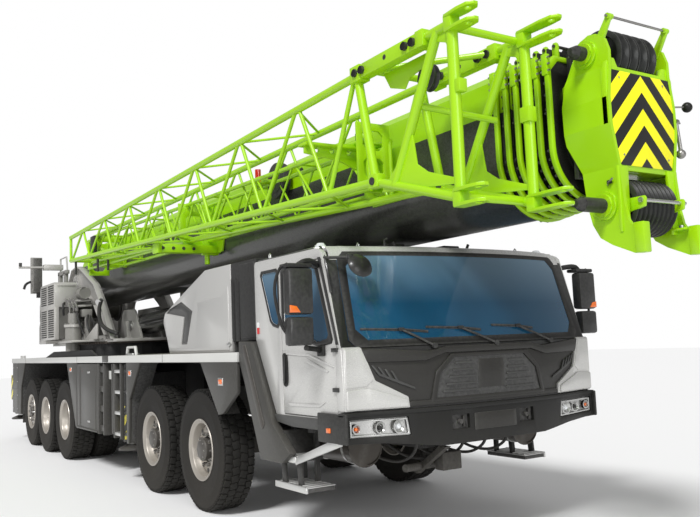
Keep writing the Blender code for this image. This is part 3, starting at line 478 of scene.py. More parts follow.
footing = Piece("footsteps")
for _, side in SIDES:
    for step_x, step_z in (((1.615, 2.105), 0.72), ((1.715, 2.285), 0.48)):
        outer = beside(side, 1.135, 1.425)
        footing.add(ALUMINIUM, block(step_x, outer, (step_z + 0.036, step_z + 0.044), 0.002),
            block(step_x, beside(side, 1.41, 1.43), (step_z - 0.005, step_z + 0.05), 0.003))
        slots = 7
        for slot in range(slots):
            slot_x = step_x[0] + 0.05 + slot * (step_x[1] - step_x[0] - 0.1) / (slots - 1)
            footing.add(ALUMINIUM, block(around(slot_x, 0.014), beside(side, 1.16, 1.40),
                (step_z + 0.042, step_z + 0.052), 0.003))
    footing.add(ALUMINIUM, plate("XZ", beside(side, 1.405, 1.425),
        [(2.10, 0.70), (2.10, 0.76), (2.86, 1.00), (2.86, 0.92)], rounding=0.002))
    for hanger_x in (1.81, 2.10):
        footing.add(FRAME_BLACK, plate("XZ", beside(side, 1.375, 1.40),
            [(hanger_x, 0.48), (hanger_x + 0.07, 0.48), (hanger_x + 0.045, 0.74), (hanger_x - 0.025, 0.74)],
            rounding=0.002))
footing.ride("carrier", "steel")

under_cab = Piece("air_tank_and_hoses")
for tank_y, start, end in ((-0.95, 1.72, 2.50), (0.95, 1.72, 2.50)):
    under_cab.add(TANK_GREY, rod((start, tank_y, 0.84), (end, tank_y, 0.84), 0.155, 32, rounding=0.02))
    for band_x in (1.86, 2.34):
        under_cab.add(BARE_STEEL, rod((band_x, tank_y, 0.84), (band_x + 0.03, tank_y, 0.84), 0.159, 32))
under_cab.add(TANK_GREY, cross_rod(2.40, (-0.50, 0.45), 0.93, 0.11, 32, rounding=0.02))
for hose in range(5):
    hose_y = -0.55 + 0.27 * hose
    under_cab.add(RUBBER_HOSE, pipe([(2.75, hose_y, 0.95), (2.55, hose_y + 0.05, 0.72),
        (2.25, hose_y, 0.66), (1.95, hose_y - 0.08, 0.80), (1.7, hose_y, 1.0)], 0.014, curved=True))
under_cab.add(CAST_IRON, plate("XZ", (-0.30, -0.24),
    [(2.70, 0.80), (2.80, 0.80), (2.35, 0.52), (2.28, 0.54)]),
    rod((2.45, -0.50, 0.60), (2.30, 0.10, 0.58), 0.035, 16),
    block((2.50, 2.62), (-0.20, 0.02), (0.56, 0.72), 0.01))
under_cab.ride("carrier", "chassis_black")

underside = Piece("drive_line")
underside.add(CAST_IRON, rod((-5.2, 0, 0.86), (0.9, 0, 0.92), 0.055, 20),
    rod((1.0, 0, 0.92), (1.5, 0, 0.92), 0.20, 24), block((-5.0, -4.4), (-0.22, 0.22), (0.66, 0.95), 0.03))
for coupling_x in (-4.35, -2.2, 0.8):
    underside.add(CAST_IRON, rod((coupling_x, 0, 0.89), (coupling_x + 0.12, 0, 0.89), 0.10, 12,
        rounding=0.01))
underside.ride("carrier", "chassis_black")


# ------------------------------------------------------------------------------ axles and knuckles
# Forged axle beams, drive-axle casings and brake drums in black paint; each steered hub turns on its kingpin.
# Brake chambers and leaf-spring packs are bolted beside them.
for node_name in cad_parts:
    if node_name.startswith(("axle_", "knuckle_")):
        repaint(node_name, CAST_IRON)

AXLE_X = [sum(corner.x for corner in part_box("axle_%d" % number)) / 2 - AXLE_1_X for number in range(1, 6)]
WHEEL_Z = sum(corner.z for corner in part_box("wheel_1_right")) / 2
springs = Piece("springs_and_brake_chambers")
for number, axle_x in enumerate(AXLE_X, start=1):
    for _, side in SIDES:
        spring_y = beside(side, 0.62, 0.71)
        for leaf in range(4):
            reach = 0.50 - 0.09 * leaf
            springs.add(CAST_IRON, block((axle_x - reach, axle_x + reach), spring_y,
                (0.905 - 0.022 * leaf, 0.923 - 0.022 * leaf), 0.003))
        springs.add(CAST_IRON, block(around(axle_x, 0.05), beside(side, 0.60, 0.73), (0.74, 0.94), 0.006),
            rod((axle_x - 0.30, side * 0.50, 0.72), (axle_x - 0.14, side * 0.50, 0.72), 0.085, 20,
            rounding=0.008))
springs.ride("carrier", "chassis_black")


# ------------------------------------------------------------------------------ wheels
# Radial block-tread tyres on silver-painted ten-stud steel rims. The steered wheels and the last axle carry a
# single tyre, the two drive axles a deep-dished twin pair. Each tyre, rim and hub cap turns as one body.
def geometry_tree(name, inputs):
    """A new geometry node tree with its named inputs; returns the tree and the input node."""
    tree = bpy.data.node_groups.new(name, "GeometryNodeTree")
    for label, kind, value in inputs:
        group_socket(tree, label, kind, "INPUT", value)
    group_socket(tree, "Geometry", "NodeSocketGeometry", "OUTPUT")
    return tree, tree.nodes.new("NodeGroupInput")


def end_tree(tree, given, instances):
    """Realises the instances, sets their finish and sends them out."""
    realised, coloured = tree.nodes.new("GeometryNodeRealizeInstances"), tree.nodes.new(
        "GeometryNodeSetMaterial")
    result = tree.nodes.new("NodeGroupOutput")
    tree.links.new(instances, realised.inputs[0])
    tree.links.new(realised.outputs[0], coloured.inputs["Geometry"])
    tree.links.new(given.outputs["Finish"], coloured.inputs["Material"])
    tree.links.new(coloured.outputs[0], result.inputs[0])
    return tree


def ring_tree():
    """A shape repeated round a circle about Z, its +X pointing outward."""
    tree, given = geometry_tree("ring_of_shapes",
        (("Shape", "NodeSocketObject", None), ("Finish", "NodeSocketMaterial", None),
        ("Count", "NodeSocketInt", 10), ("Radius", "NodeSocketFloat", 0.1)))
    nodes, links = tree.nodes, tree.links
    ring, shape = nodes.new("GeometryNodeMeshCircle"), nodes.new("GeometryNodeObjectInfo")
    place, outward = nodes.new("GeometryNodeInstanceOnPoints"), nodes.new("FunctionNodeAlignEulerToVector")
    spot = nodes.new("GeometryNodeInputPosition")
    outward.axis = "X"
    outward.pivot_axis = "Z"
    links.new(given.outputs["Count"], ring.inputs["Vertices"])
    links.new(given.outputs["Radius"], ring.inputs["Radius"])
    links.new(given.outputs["Shape"], shape.inputs["Object"])
    links.new(spot.outputs[0], outward.inputs["Vector"])
    links.new(ring.outputs["Mesh"], place.inputs["Points"])
    links.new(shape.outputs["Geometry"], place.inputs["Instance"])
    links.new(outward.outputs["Rotation"], place.inputs["Rotation"])
    return end_tree(tree, given, place.outputs["Instances"])


def row_tree():
    """A shape repeated along a straight line."""
    tree, given = geometry_tree("row_of_shapes",
        (("Shape", "NodeSocketObject", None), ("Finish", "NodeSocketMaterial", None),
        ("Count", "NodeSocketInt", 10), ("Step", "NodeSocketVector", (0.1, 0, 0))))
    nodes, links = tree.nodes, tree.links
    line, shape = nodes.new("GeometryNodeMeshLine"), nodes.new("GeometryNodeObjectInfo")
    place = nodes.new("GeometryNodeInstanceOnPoints")
    links.new(given.outputs["Count"], line.inputs["Count"])
    links.new(given.outputs["Step"], line.inputs["Offset"])
    links.new(given.outputs["Shape"], shape.inputs["Object"])
    links.new(line.outputs["Mesh"], place.inputs["Points"])
    links.new(shape.outputs["Geometry"], place.inputs["Instance"])
    return end_tree(tree, given, place.outputs["Instances"])


def grown(tree, finish_used, shape, place=Matrix.Identity(4), **sizes):
    """Runs a tree on a shape and returns the plain mesh, put in place by a matrix."""
    pattern = bpy.data.objects.new("pattern", shape)
    carrier_mesh = bpy.data.objects.new("grown", bpy.data.meshes.new("grown"))
    for helper in (pattern, carrier_mesh):
        bpy.context.scene.collection.objects.link(helper)
    modifier = carrier_mesh.modifiers.new("repeat", "NODES")
    modifier.node_group = tree
    values = {"Shape": pattern, "Finish": finish_used, **sizes}
    for item in tree.interface.items_tree:
        if item.item_type == "SOCKET" and item.in_out == "INPUT" and item.name in values:
            modifier[item.identifier] = values[item.name]
    bpy.context.view_layer.update()
    mesh = bpy.data.meshes.new_from_object(carrier_mesh.evaluated_get(bpy.context.evaluated_depsgraph_get()))
    mesh.transform(place)
    bpy.data.objects.remove(carrier_mesh)
    bpy.data.objects.remove(pattern)
    return mesh


def repeat(piece, tree, finish_used, shape, place, **sizes):
    """Adds a shape to a piece many times over, as the tree sets it out."""
    piece.add(finish_used, grown(tree, finish_used, shape, place, **sizes))


RING, ROW = ring_tree(), row_tree()


def loose_block(x, y, z, rounding=0.0):
    """A block for a tree to repeat, measured from its own origin."""
    return block((x[0] - AXLE_1_X, x[1] - AXLE_1_X), y, z, rounding)


TYRE = finish("tyre_rubber", (0.0105, 0.0100, 0.0095), 0.78, grain=160.0, depth=0.0012, dust=0.07,
    dust_height=1.6, wear=0.0, patchy=0.10)
TREAD = finish("tread_rubber", (0.008, 0.008, 0.0075), 0.72, grain=120.0, depth=0.0015, dust=0.05, wear=0.0)
RIM_SILVER = finish("rim_silver", (0.40, 0.37, 0.33), 0.32, metallic=0.55, coat=0.15, dust=0.22,
    dust_height=1.4)
HUB_DARK = finish("hub_dark", (0.10, 0.095, 0.09), 0.35, metallic=0.6, dust=0.2)
STUD_STEEL = finish("stud_steel", (0.30, 0.29, 0.28), 0.35, metallic=0.8, dust=0.2)

TYRE_WALL = [(0.285, 0.115), (0.300, 0.150), (0.330, 0.164), (0.352, 0.166), (0.380, 0.1745),
    (0.440, 0.184), (0.500, 0.1865), (0.515, 0.1885), (0.530, 0.1865), (0.570, 0.180), (0.600, 0.172),
    (0.612, 0.1725), (0.624, 0.160), (0.632, 0.145), (0.636, 0.120), (0.638, 0.060), (0.6385, 0.0)]
RIM_LIP = [(0.262, 0.030), (0.270, 0.085), (0.279, 0.098), (0.281, 0.140), (0.287, 0.152), (0.304, 0.162),
    (0.318, 0.176), (0.330, 0.177), (0.334, 0.168), (0.322, 0.160), (0.300, 0.148), (0.290, 0.138)]
LUG_TOP_R = WHEEL_Z
HALF_TYRE_WIDTH, TWIN_OFFSET, LUG_COUNT, STUD_COUNT = 0.1875, 0.21, 46, 10
# How far out from the wheel's middle the disc and the hub stand, and the hub's radius.
FRONT_RIM, REAR_RIM = (0.088, 0.182, 0.122), (0.150, 0.196, 0.095)


def tyre_shapes(piece, place, centre_offset):
    """One tyre: a bulged carcass and four staggered rows of tread blocks."""
    there = place @ Matrix.Translation((0, 0, centre_offset))
    wall = TYRE_WALL + [(radius, -across) for radius, across in reversed(TYRE_WALL[:-1])]
    piece.add(TYRE, lathe(wall, there, 72, closed=True))
    for row, (low, high, skew) in enumerate(((-0.158, -0.092, 9), (-0.084, -0.004, -14), (0.004, 0.084, 14),
            (0.092, 0.158, -9))):
        long_way = 0.036 if abs(low) > 0.09 or abs(high) > 0.09 else 0.0385
        lug = loose_block((-0.026, 0.0), (-long_way, long_way), (-(high - low) / 2, (high - low) / 2), 0.004)
        lug.transform(Matrix.Rotation(math.radians(skew), 4, "X"))
        turn = Matrix.Rotation(math.pi / LUG_COUNT * (row % 2), 4, "Z")
        lift = Matrix.Translation((0, 0, (low + high) / 2))
        repeat(piece, RING, TREAD, lug, there @ lift @ turn, Count=LUG_COUNT, Radius=LUG_TOP_R)
    for edge in (-1, 1):
        nick = loose_block((-0.018, 0.004), (-0.012, 0.012), (-0.007, 0.007))
        lift = Matrix.Translation((0, 0, edge * 0.163))
        repeat(piece, RING, TREAD, nick, there @ lift, Count=92, Radius=0.630)


def rim_shapes(piece, place, disc_height, hub_height, dished, hub_radius=0.125):
    """The rim's lips, the disc with its ten studs and the hub in the middle; outward is +Z."""
    back = [(radius, -across) for radius, across in reversed(RIM_LIP)]
    outer_lift = TWIN_OFFSET if dished else 0.0
    piece.add(RIM_SILVER, lathe(RIM_LIP + [(0.270, 0.0)] + back,
        place @ Matrix.Translation((0, 0, outer_lift)), 64, closed=True))
    thick = 0.014
    bowl = [(0.268, disc_height - 0.075), (0.262, disc_height - 0.020), (0.245, disc_height - 0.004),
        (0.215, disc_height), (0.105, disc_height)]
    bowl += [(radius, height - thick) for radius, height in reversed(bowl)]
    piece.add(RIM_SILVER, lathe(bowl, place, 60, closed=True))
    if dished:
        barrel = [(0.268, disc_height - 0.08), (0.272, outer_lift - 0.03), (0.282, outer_lift - 0.03),
            (0.280, disc_height - 0.08)]
        piece.add(RIM_SILVER, lathe(barrel, place, 60, closed=True))
    hole = post(-AXLE_1_X, 0, (-0.001, 0.001), 0.024, 20)
    window = place @ Matrix.Translation((0, 0,
        disc_height + 0.0012)) @ Matrix.Rotation(math.pi / STUD_COUNT, 4, "Z")
    repeat(piece, RING, FRAME_BLACK, hole, window, Count=STUD_COUNT, Radius=0.226)
    nut = post(-AXLE_1_X, 0, (0.0, 0.030), 0.019, 6, rounding=0.002)
    repeat(piece, RING, STUD_STEEL, nut, place @ Matrix.Translation((0, 0, disc_height)), Count=STUD_COUNT,
        Radius=0.168)
    tip = post(-AXLE_1_X, 0, (0.028, 0.048), 0.010, 10)
    repeat(piece, RING, STUD_STEEL, tip, place @ Matrix.Translation((0, 0, disc_height)), Count=STUD_COUNT,
        Radius=0.168)
    hub = [(0.0, hub_height), (hub_radius * 0.62, hub_height), (hub_radius * 0.72, hub_height - 0.006),
        (hub_radius * 0.90, hub_height - 0.016), (hub_radius, hub_height - 0.03), (hub_radius, disc_height),
        (hub_radius + 0.015, disc_height), (hub_radius + 0.015, disc_height - 0.02),
        (0.0, disc_height - 0.02)]
    piece.add(HUB_DARK, lathe(hub, place, 40))
    bolt = post(-AXLE_1_X, 0, (0.0, 0.010), 0.009, 6)
    repeat(piece, RING, STUD_STEEL, bolt, place @ Matrix.Translation((0, 0, hub_height - 0.014)), Count=8,
        Radius=hub_radius * 0.82)
    valve = pipe([(-AXLE_1_X + 0.24, 0, disc_height), (-AXLE_1_X + 0.22, 0, disc_height + 0.04)], 0.006)
    valve.transform(place)
    piece.add(BARE_STEEL, valve)


for number in range(1, 6):
    for side_name, side in SIDES:
        node_name = "wheel_%d_%s" % (number, side_name)
        low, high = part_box(node_name)
        middle = (low + high) / 2
        twin = number in (3, 4)
        outward = Matrix.Rotation(-side * math.pi / 2, 4, "X")
        half_track = TWIN_OFFSET if twin else 0.0
        centre_y = side * (abs(low.y if side < 0 else high.y) - HALF_TYRE_WIDTH - half_track)
        hub_place = Matrix.Translation((middle.x, centre_y, middle.z)) @ outward
        assembled = Piece("tyre_and_rim_%d_%s" % (number, side_name))
        if twin:
            for offset in (-half_track, half_track):
                tyre_shapes(assembled, hub_place, offset)
            rim_shapes(assembled, hub_place, 0.060, 0.185, True, 0.135)
            inner_lip = RIM_LIP + [(0.270, 0.0)] + [(radius, -across) for radius, across in reversed(RIM_LIP)]
            assembled.add(RIM_SILVER, lathe(inner_lip, hub_place @ Matrix.Translation((0, 0, -half_track)),
                48, closed=True))
        else:
            tyre_shapes(assembled, hub_place, 0.0)
            disc_height, hub_height, hub_radius = REAR_RIM if number == 5 else FRONT_RIM
            rim_shapes(assembled, hub_place, disc_height, hub_height, False, hub_radius)
        assembled.ride(node_name, "tyre_rubber", node_name)


# ------------------------------------------------------------------------------ outriggers
# Each beam is a grey welded box that slides out of its cross box; at its end the round jack tube carries
# black and yellow warning bands, a steel rod and a round float.
def hazard(nodes, links, worked, height, shader):
    """Diagonal black and yellow bands, seen the same from each side."""
    where, parts = nodes.new("ShaderNodeTexCoord"), nodes.new("ShaderNodeSeparateXYZ")
    links.new(where.outputs["Object"], parts.inputs[0])
    step = shader_math(nodes, links)
    slope = step("SUBTRACT", step("ADD", parts.outputs["X"], parts.outputs["Y"]), parts.outputs["Z"])
    band = step("GREATER_THAN", step("FRACT", step("MULTIPLY", slope, 4.2), 0.0), 0.5)
    links.new(mixed(nodes, links, band, (0.012, 0.012, 0.012, 1), worked.outputs["Colour"]),
        shader.inputs["Base Color"])
    return height


BEAM_GREY = finish("beam_grey", (0.026, 0.026, 0.025), 0.42, coat=0.08, dust=0.08)
HAZARD_PAINT = finish("hazard_bands", (0.86, 0.74, 0.006), 0.35, coat=0.15, dust=0.1, pattern=hazard)

for place in ("front", "rear"):
    for side_name, side in SIDES:
        beam_name, jack_name = "outrigger_%s_%s" % (place, side_name), "jack_%s_%s" % (place, side_name)
        repaint(beam_name, BEAM_GREY)
        repaint(jack_name, BARE_STEEL)
        low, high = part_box(jack_name)
        x, y = (low.x + high.x) / 2 - AXLE_1_X, (low.y + high.y) / 2
        stand = spot(x, y, 0)
        tube = Piece("jack_tube_%s_%s" % (place, side_name))
        bore, wall = 0.077, 0.124
        tube.add(HAZARD_PAINT, lathe([(wall, 0.535), (wall, 1.00), (bore + 0.03, 1.00),
            (bore + 0.03, 0.535)], stand, 36, closed=True))
        tube.add(BEAM_GREY, lathe([(wall - 0.002, 1.00), (wall - 0.002, 1.57), (0.0, 1.575), (0.0, 1.565),
            (bore + 0.03, 1.46), (bore + 0.03, 1.00)], stand, 36),
            lathe([(wall + 0.006, 0.515), (wall + 0.006, 0.545), (bore + 0.002, 0.545),
            (bore + 0.002, 0.515)], stand, 36, closed=True),
            post(x, y, (1.573, 1.60), 0.06, 24, rounding=0.006),
            block(around(x, 0.15), beside(side, 1.13, 1.17), (0.985, 1.36), 0.006))
        tube.add(RUBBER_HOSE, pipe([(x + 0.13, y, 1.30), (x + 0.17, y - side * 0.02, 1.42),
            (x + 0.13, y - side * 0.05, 1.50)], 0.012, curved=True))
        if place == "rear":
            tube.add(HAZARD_PAINT, block(around(x, 0.12), beside(side, 1.462, 1.478), (0.82, 1.34), 0.006))
            tube.add(BEAM_GREY, block(around(x, 0.05), beside(side, 1.40, 1.465), (1.10, 1.30), 0.004))
        tube.ride(beam_name, "dark_panel")
        foot = Piece("float_%s_%s" % (place, side_name))
        foot.add(BEAM_GREY, lathe([(0.0, 0.402), (0.196, 0.402), (0.203, 0.412), (0.200, 0.432),
            (0.11, 0.470), (0.075, 0.483), (0.0, 0.483)], stand, 40))
        foot.add(BARE_STEEL, post(x, y, (0.48, 1.38), 0.0742, 32))
        foot.ride(jack_name, "steel", jack_name)


# ------------------------------------------------------------------------------ deck
# Folded steel walkway plates with an off-white edge strip; dark-grey side panels, a locker, the steps and the
# wheel-arch panels hang below it. The machine's right side is the one with the locker.
DECK_WHITE = finish("deck_white", (0.56, 0.56, 0.54), 0.38, coat=0.2, dust=0.15)
PANEL_GREY = finish("panel_grey", (0.036, 0.035, 0.032), 0.40, coat=0.12, dust=0.07, dust_height=1.8)
WALKWAY = finish("walkway_plate", (0.075, 0.075, 0.073), 0.55, metallic=0.2, depth=0.0012, dust=0.35,
    dust_height=4.0, pattern=tread_plate)
LINING = finish("arch_lining", (0.006, 0.006, 0.006), 0.7, grain=60.0, dust=0.1)
SLEW_X = -6.90

deck_shapes = Piece("deck_and_side_panels")
ring_hole = circle((SLEW_X, 0.0), 1.03, 48)
engine_hole = [(-1.02, -0.50), (0.95, -0.50), (0.95, 0.50), (-1.02, 0.50)]
deck_outline = [(-10.34, -1.46), (1.10, -1.46), (1.10, 1.46), (-10.34, 1.46)]
deck_shapes.add(WALKWAY, plate("XY", (1.615, 1.688), deck_outline, ring_hole, engine_hole, rounding=0.003))
for _, side in SIDES:
    deck_shapes.add(DECK_WHITE, block((-10.35, 1.105), beside(side, 1.455, 1.50), (1.598, 1.694), 0.006))
    for joint_x in (-8.95, -4.95, -3.30, -1.0):
        deck_shapes.add(PANEL_GREY, block((joint_x, joint_x + 0.012), beside(side, 1.4995, 1.5015),
            (1.60, 1.692), 0.0))
    deck_shapes.add(PANEL_GREY, block((-3.52, -3.22), beside(side, 1.452, 1.502), (1.604, 1.696), 0.004))
deck_shapes.add(DECK_WHITE, block((-10.355, -10.32), (-1.48, 1.48), (1.602, 1.692), 0.006))

for _, side in SIDES:
    rear_edge = -10.26 if side < 0 else -9.94
    leaf = beside(side, 1.455, 1.497)
    arch_rear = [(rear_edge, 1.60), (-9.02, 1.60), (-9.38, 1.12), (-9.44, 0.56), (rear_edge, 0.56)]
    arch_front = [(-2.42, 1.60), (-1.85, 1.60), (-2.28, 1.12), (-2.34, 0.53), (-2.42, 0.53)]
    arch_middle = [(-5.62, 1.60), (-4.98, 1.60), (-4.98, 0.58), (-5.06, 0.58)]
    arch_cab = [(0.16, 1.60), (1.09, 1.60), (1.09, 1.30), (0.74, 1.08), (0.62, 1.06)]
    for outline in (arch_rear, arch_front, arch_middle, arch_cab):
        deck_shapes.add(PANEL_GREY, plate("XZ", leaf, outline, rounding=0.008))
    for edge in (((-1.85, 1.60), (-2.28, 1.12), (-2.34, 0.53)),
            ((-9.02, 1.60), (-9.38, 1.12), (-9.44, 0.56)), ((-5.62, 1.60), (-5.06, 0.58)),
            ((0.16, 1.60), (0.62, 1.06))):
        for start, end in zip(edge, edge[1:]):
            inner = 1.25 if start[0] > -3 else 0.62 if start[0] < -8 else 1.08
            deck_shapes.add(LINING, plate("XZ", beside(side, inner, 1.46), strip(start, end, (-0.012, 0)),
                rounding=0.0))
    deck_shapes.add(LINING, block((-9.60, -5.20), beside(side, 0.600, 0.612), (1.22, 1.600), 0.0))
    for top_x in ((-1.85, 0.16), (-9.02, -5.62)):
        deck_shapes.add(LINING, block(top_x, beside(side, 0.75, 1.44), (1.590, 1.612), 0.0))
    for lamp_x, lamp_z in ((-5.35, 1.49), (-2.26, 1.46), (0.70, 1.40)):
        deck_shapes.add(BARE_STEEL, block(around(lamp_x, 0.06), beside(side, 1.49, 1.502),
            around(lamp_z, 0.04), 0.004))
        deck_shapes.add(AMBER, block(around(lamp_x, 0.04), beside(side, 1.495, 1.510),
            around(lamp_z, 0.025), 0.008))
    panel_bolt = loose_block((-0.011, 0.011), (-0.004, 0.004), (-0.011, 0.011), 0.003)
    for bolt_x in (rear_edge + 0.05, rear_edge + 0.50):
        there = spot(bolt_x, side * 1.499, 0.66)
        repeat(deck_shapes, ROW, BARE_STEEL, panel_bolt.copy(), there, Count=4, Step=(0, 0, 0.28))
    deck_shapes.add(PANEL_GREY, block((rear_edge, -9.46), beside(side, 1.492, 1.503), (1.05, 1.07), 0.003),
        block((rear_edge + 0.54, rear_edge + 0.56), beside(side, 1.49, 1.503), (0.58, 1.58), 0.002))

locker_y = (-1.496, -0.76)
deck_shapes.add(PANEL_GREY, block((-4.97, -3.80), locker_y, (0.57, 1.585), 0.018),
    block((-4.90, -4.76), (-1.502, -1.49), (0.62, 1.55), 0.006),
    block((-4.68, -3.88), (-1.504, -1.49), (0.62, 1.55), 0.006),
    block((-3.80, -3.50), (-1.38, -0.78), (0.60, 1.58), 0.010),
    block((-4.97, -3.80), (-1.508, -1.49), (0.575, 0.605), 0.006))
deck_shapes.add(BARE_STEEL, block((-4.30, -4.18), (-1.512, -1.50), (1.44, 1.47), 0.004),
    block((-4.30, -4.18), (-1.512, -1.50), (0.70, 0.73), 0.004))
rungs = 4
for stair in range(rungs):
    rung_z = 0.60 + 0.285 * stair
    deck_shapes.add(PANEL_GREY, block((-3.78, -3.50), (-1.47, -1.40), (rung_z, rung_z + 0.09), 0.008))
    deck_shapes.add(ALUMINIUM, block((-2.98, -2.70), (-1.49, -1.37), (rung_z, rung_z + 0.045), 0.006))
deck_shapes.add(PANEL_GREY, block((-3.80, -3.76), (-1.495, -1.36), (0.56, 1.585), 0.006),
    block((-3.52, -3.48), (-1.495, -1.36), (0.56, 1.585), 0.006),
    block((-3.02, -2.97), (-1.495, -1.36), (0.56, 1.585), 0.006),
    block((-2.71, -2.685), (-1.495, -1.44), (0.56, 1.585), 0.004),
    block((-3.22, -3.16), (-1.46, -1.40), (0.60, 1.585), 0.006))
deck_shapes.add(RUBBER_HOSE, block((-3.78, -3.50), (-1.40, -1.38), (0.56, 1.58), 0.004))
deck_shapes.add(DECK_WHITE, block((-3.40, -3.28), (-1.44, -1.43), (1.36, 1.48), 0.003))

deck_shapes.add(TANK_GREY, rod((-4.95, 1.12, 0.95), (-3.45, 1.12, 0.95), 0.335, 48, rounding=0.03))
for strap_x in (-4.65, -3.80):
    deck_shapes.add(BARE_STEEL, rod((strap_x, 1.12, 0.95), (strap_x + 0.05, 1.12, 0.95), 0.342, 48))
    deck_shapes.add(PANEL_GREY, block((strap_x - 0.02, strap_x + 0.07), (0.85, 1.35), (1.20, 1.60), 0.006))
deck_shapes.add(BARE_STEEL, rod((-4.2, 1.30, 1.18), (-4.2, 1.36, 1.30), 0.055, 24, rounding=0.006))

for _, side in SIDES:
    skin = beside(side, 1.40, 1.482)
    deck_shapes.add(PANEL_GREY, plate("XZ", skin,
        [(1.115, 1.60), (1.115, 1.80), (1.385, 1.79), (1.52, 1.54), (1.79, 1.04), (2.10, 0.80),
        (1.95, 0.70), (1.53, 0.70), (1.20, 1.45)], rounding=0.014))
    deck_shapes.add(TANK_GREY, plate("XZ", beside(side, 1.478, 1.490),
        [(1.22, 1.76), (1.29, 1.76), (1.64, 1.03), (1.60, 0.98), (1.56, 1.00), (1.24, 1.66)],
        rounding=0.006))
    deck_shapes.add(LINING, plate("XZ", beside(side, 1.00, 1.44),
        [(1.02, 1.60), (1.05, 1.66), (1.16, 1.66), (1.58, 0.73), (1.54, 0.72)], rounding=0.004),
        plate("XZ", beside(side, 1.00, 1.42), [(1.60, 0.71), (1.93, 0.71), (1.90, 0.98), (1.62, 0.98)],
        rounding=0.004))
deck_shapes.add(DECK_WHITE, pipe([(-2.66, -1.40, 1.69), (-2.62, -1.40, 1.80), (-2.30, -1.40, 1.80),
    (-2.26, -1.40, 1.69)], 0.022, 12))
deck_shapes.add(BARE_STEEL, block((-2.60, -2.32), (-1.44, -1.34), (1.69, 1.72), 0.006))
for hook_x in (-10.15, -9.85):
    deck_shapes.add(DECK_WHITE, pipe([(hook_x, -1.35, 1.69), (hook_x, -1.35, 1.74),
        (hook_x + 0.12, -1.35, 1.74), (hook_x + 0.12, -1.35, 1.69)], 0.014, 10))
deck_shapes.add(FRAME_BLACK, plate("XZ", (-1.12, -1.08),
    [(-8.9, 1.69), (-8.2, 1.80), (-5.6, 1.80), (-5.2, 1.69)], rounding=0.004),
    plate("XZ", (1.08, 1.12), [(-8.9, 1.69), (-8.2, 1.80), (-5.6, 1.80), (-5.2, 1.69)], rounding=0.004))
deck_shapes.ride("carrier", "deck_grey", "deck")

lights_rear = Piece("rear_lamps_and_flaps")
RED_LENS = finish("red_lens", (0.55, 0.015, 0.012), 0.15, coat=0.8, dust=0.05, wear=0.0)
CLEAR_LENS = finish("clear_lens", (0.80, 0.82, 0.84), 0.08, metallic=0.3, coat=1.0, dust=0.0, wear=0.0)
for _, side in SIDES:
    lights_rear.add(FRAME_BLACK, block((-10.612, -10.585), beside(side, 0.62, 1.10), (0.98, 1.14), 0.006))
    for lamp, lens in enumerate((RED_LENS, AMBER, CLEAR_LENS)):
        lamp_y = 0.69 + 0.16 * lamp
        turn = spot(-10.612, side * lamp_y, 1.06) @ Matrix.Rotation(-math.pi / 2, 4, "Y")
        lights_rear.add(lens, lathe([(0.0, 0.016), (0.045, 0.012), (0.062, 0.0), (0.0, 0.0)], turn, 28))
    lights_rear.add(RUBBER_HOSE, block((-9.52, -9.50), beside(side, 1.10, 1.44), (0.38, 1.02), 0.004))
lights_rear.ride("carrier", "dark_panel")


# ------------------------------------------------------------------------------ engine and its housing
# The engine is one block in its well. Over it stands a moulded silver-white hood between deck and cab, with a
# sunk dark-grey band on each side, a black ribbed frame in front and air slots behind.
ENGINE_PAINT = finish("engine_paint", (0.06, 0.06, 0.06), 0.5, grain=60.0, depth=0.002, dust=0.3,
    dust_height=3.0)
repaint("engine_block", ENGINE_PAINT)

BODY_WHITE = finish("body_white", (0.50, 0.495, 0.48), 0.30, metallic=0.3, coat=0.35, depth=0.0003,
    dust=0.06, patchy=0.03)
BAND_GREY = finish("band_grey", (0.038, 0.038, 0.037), 0.38, coat=0.15, dust=0.08)
DEEP_BLACK = finish("deep_black", (0.006, 0.006, 0.006), 0.55, dust=0.08)
RED_TAPE = finish("red_tape", (0.60, 0.02, 0.02), 0.3, dust=0.0, wear=0.0)
WHITE_TAPE = finish("white_tape", (0.75, 0.75, 0.75), 0.3, dust=0.0, wear=0.0)

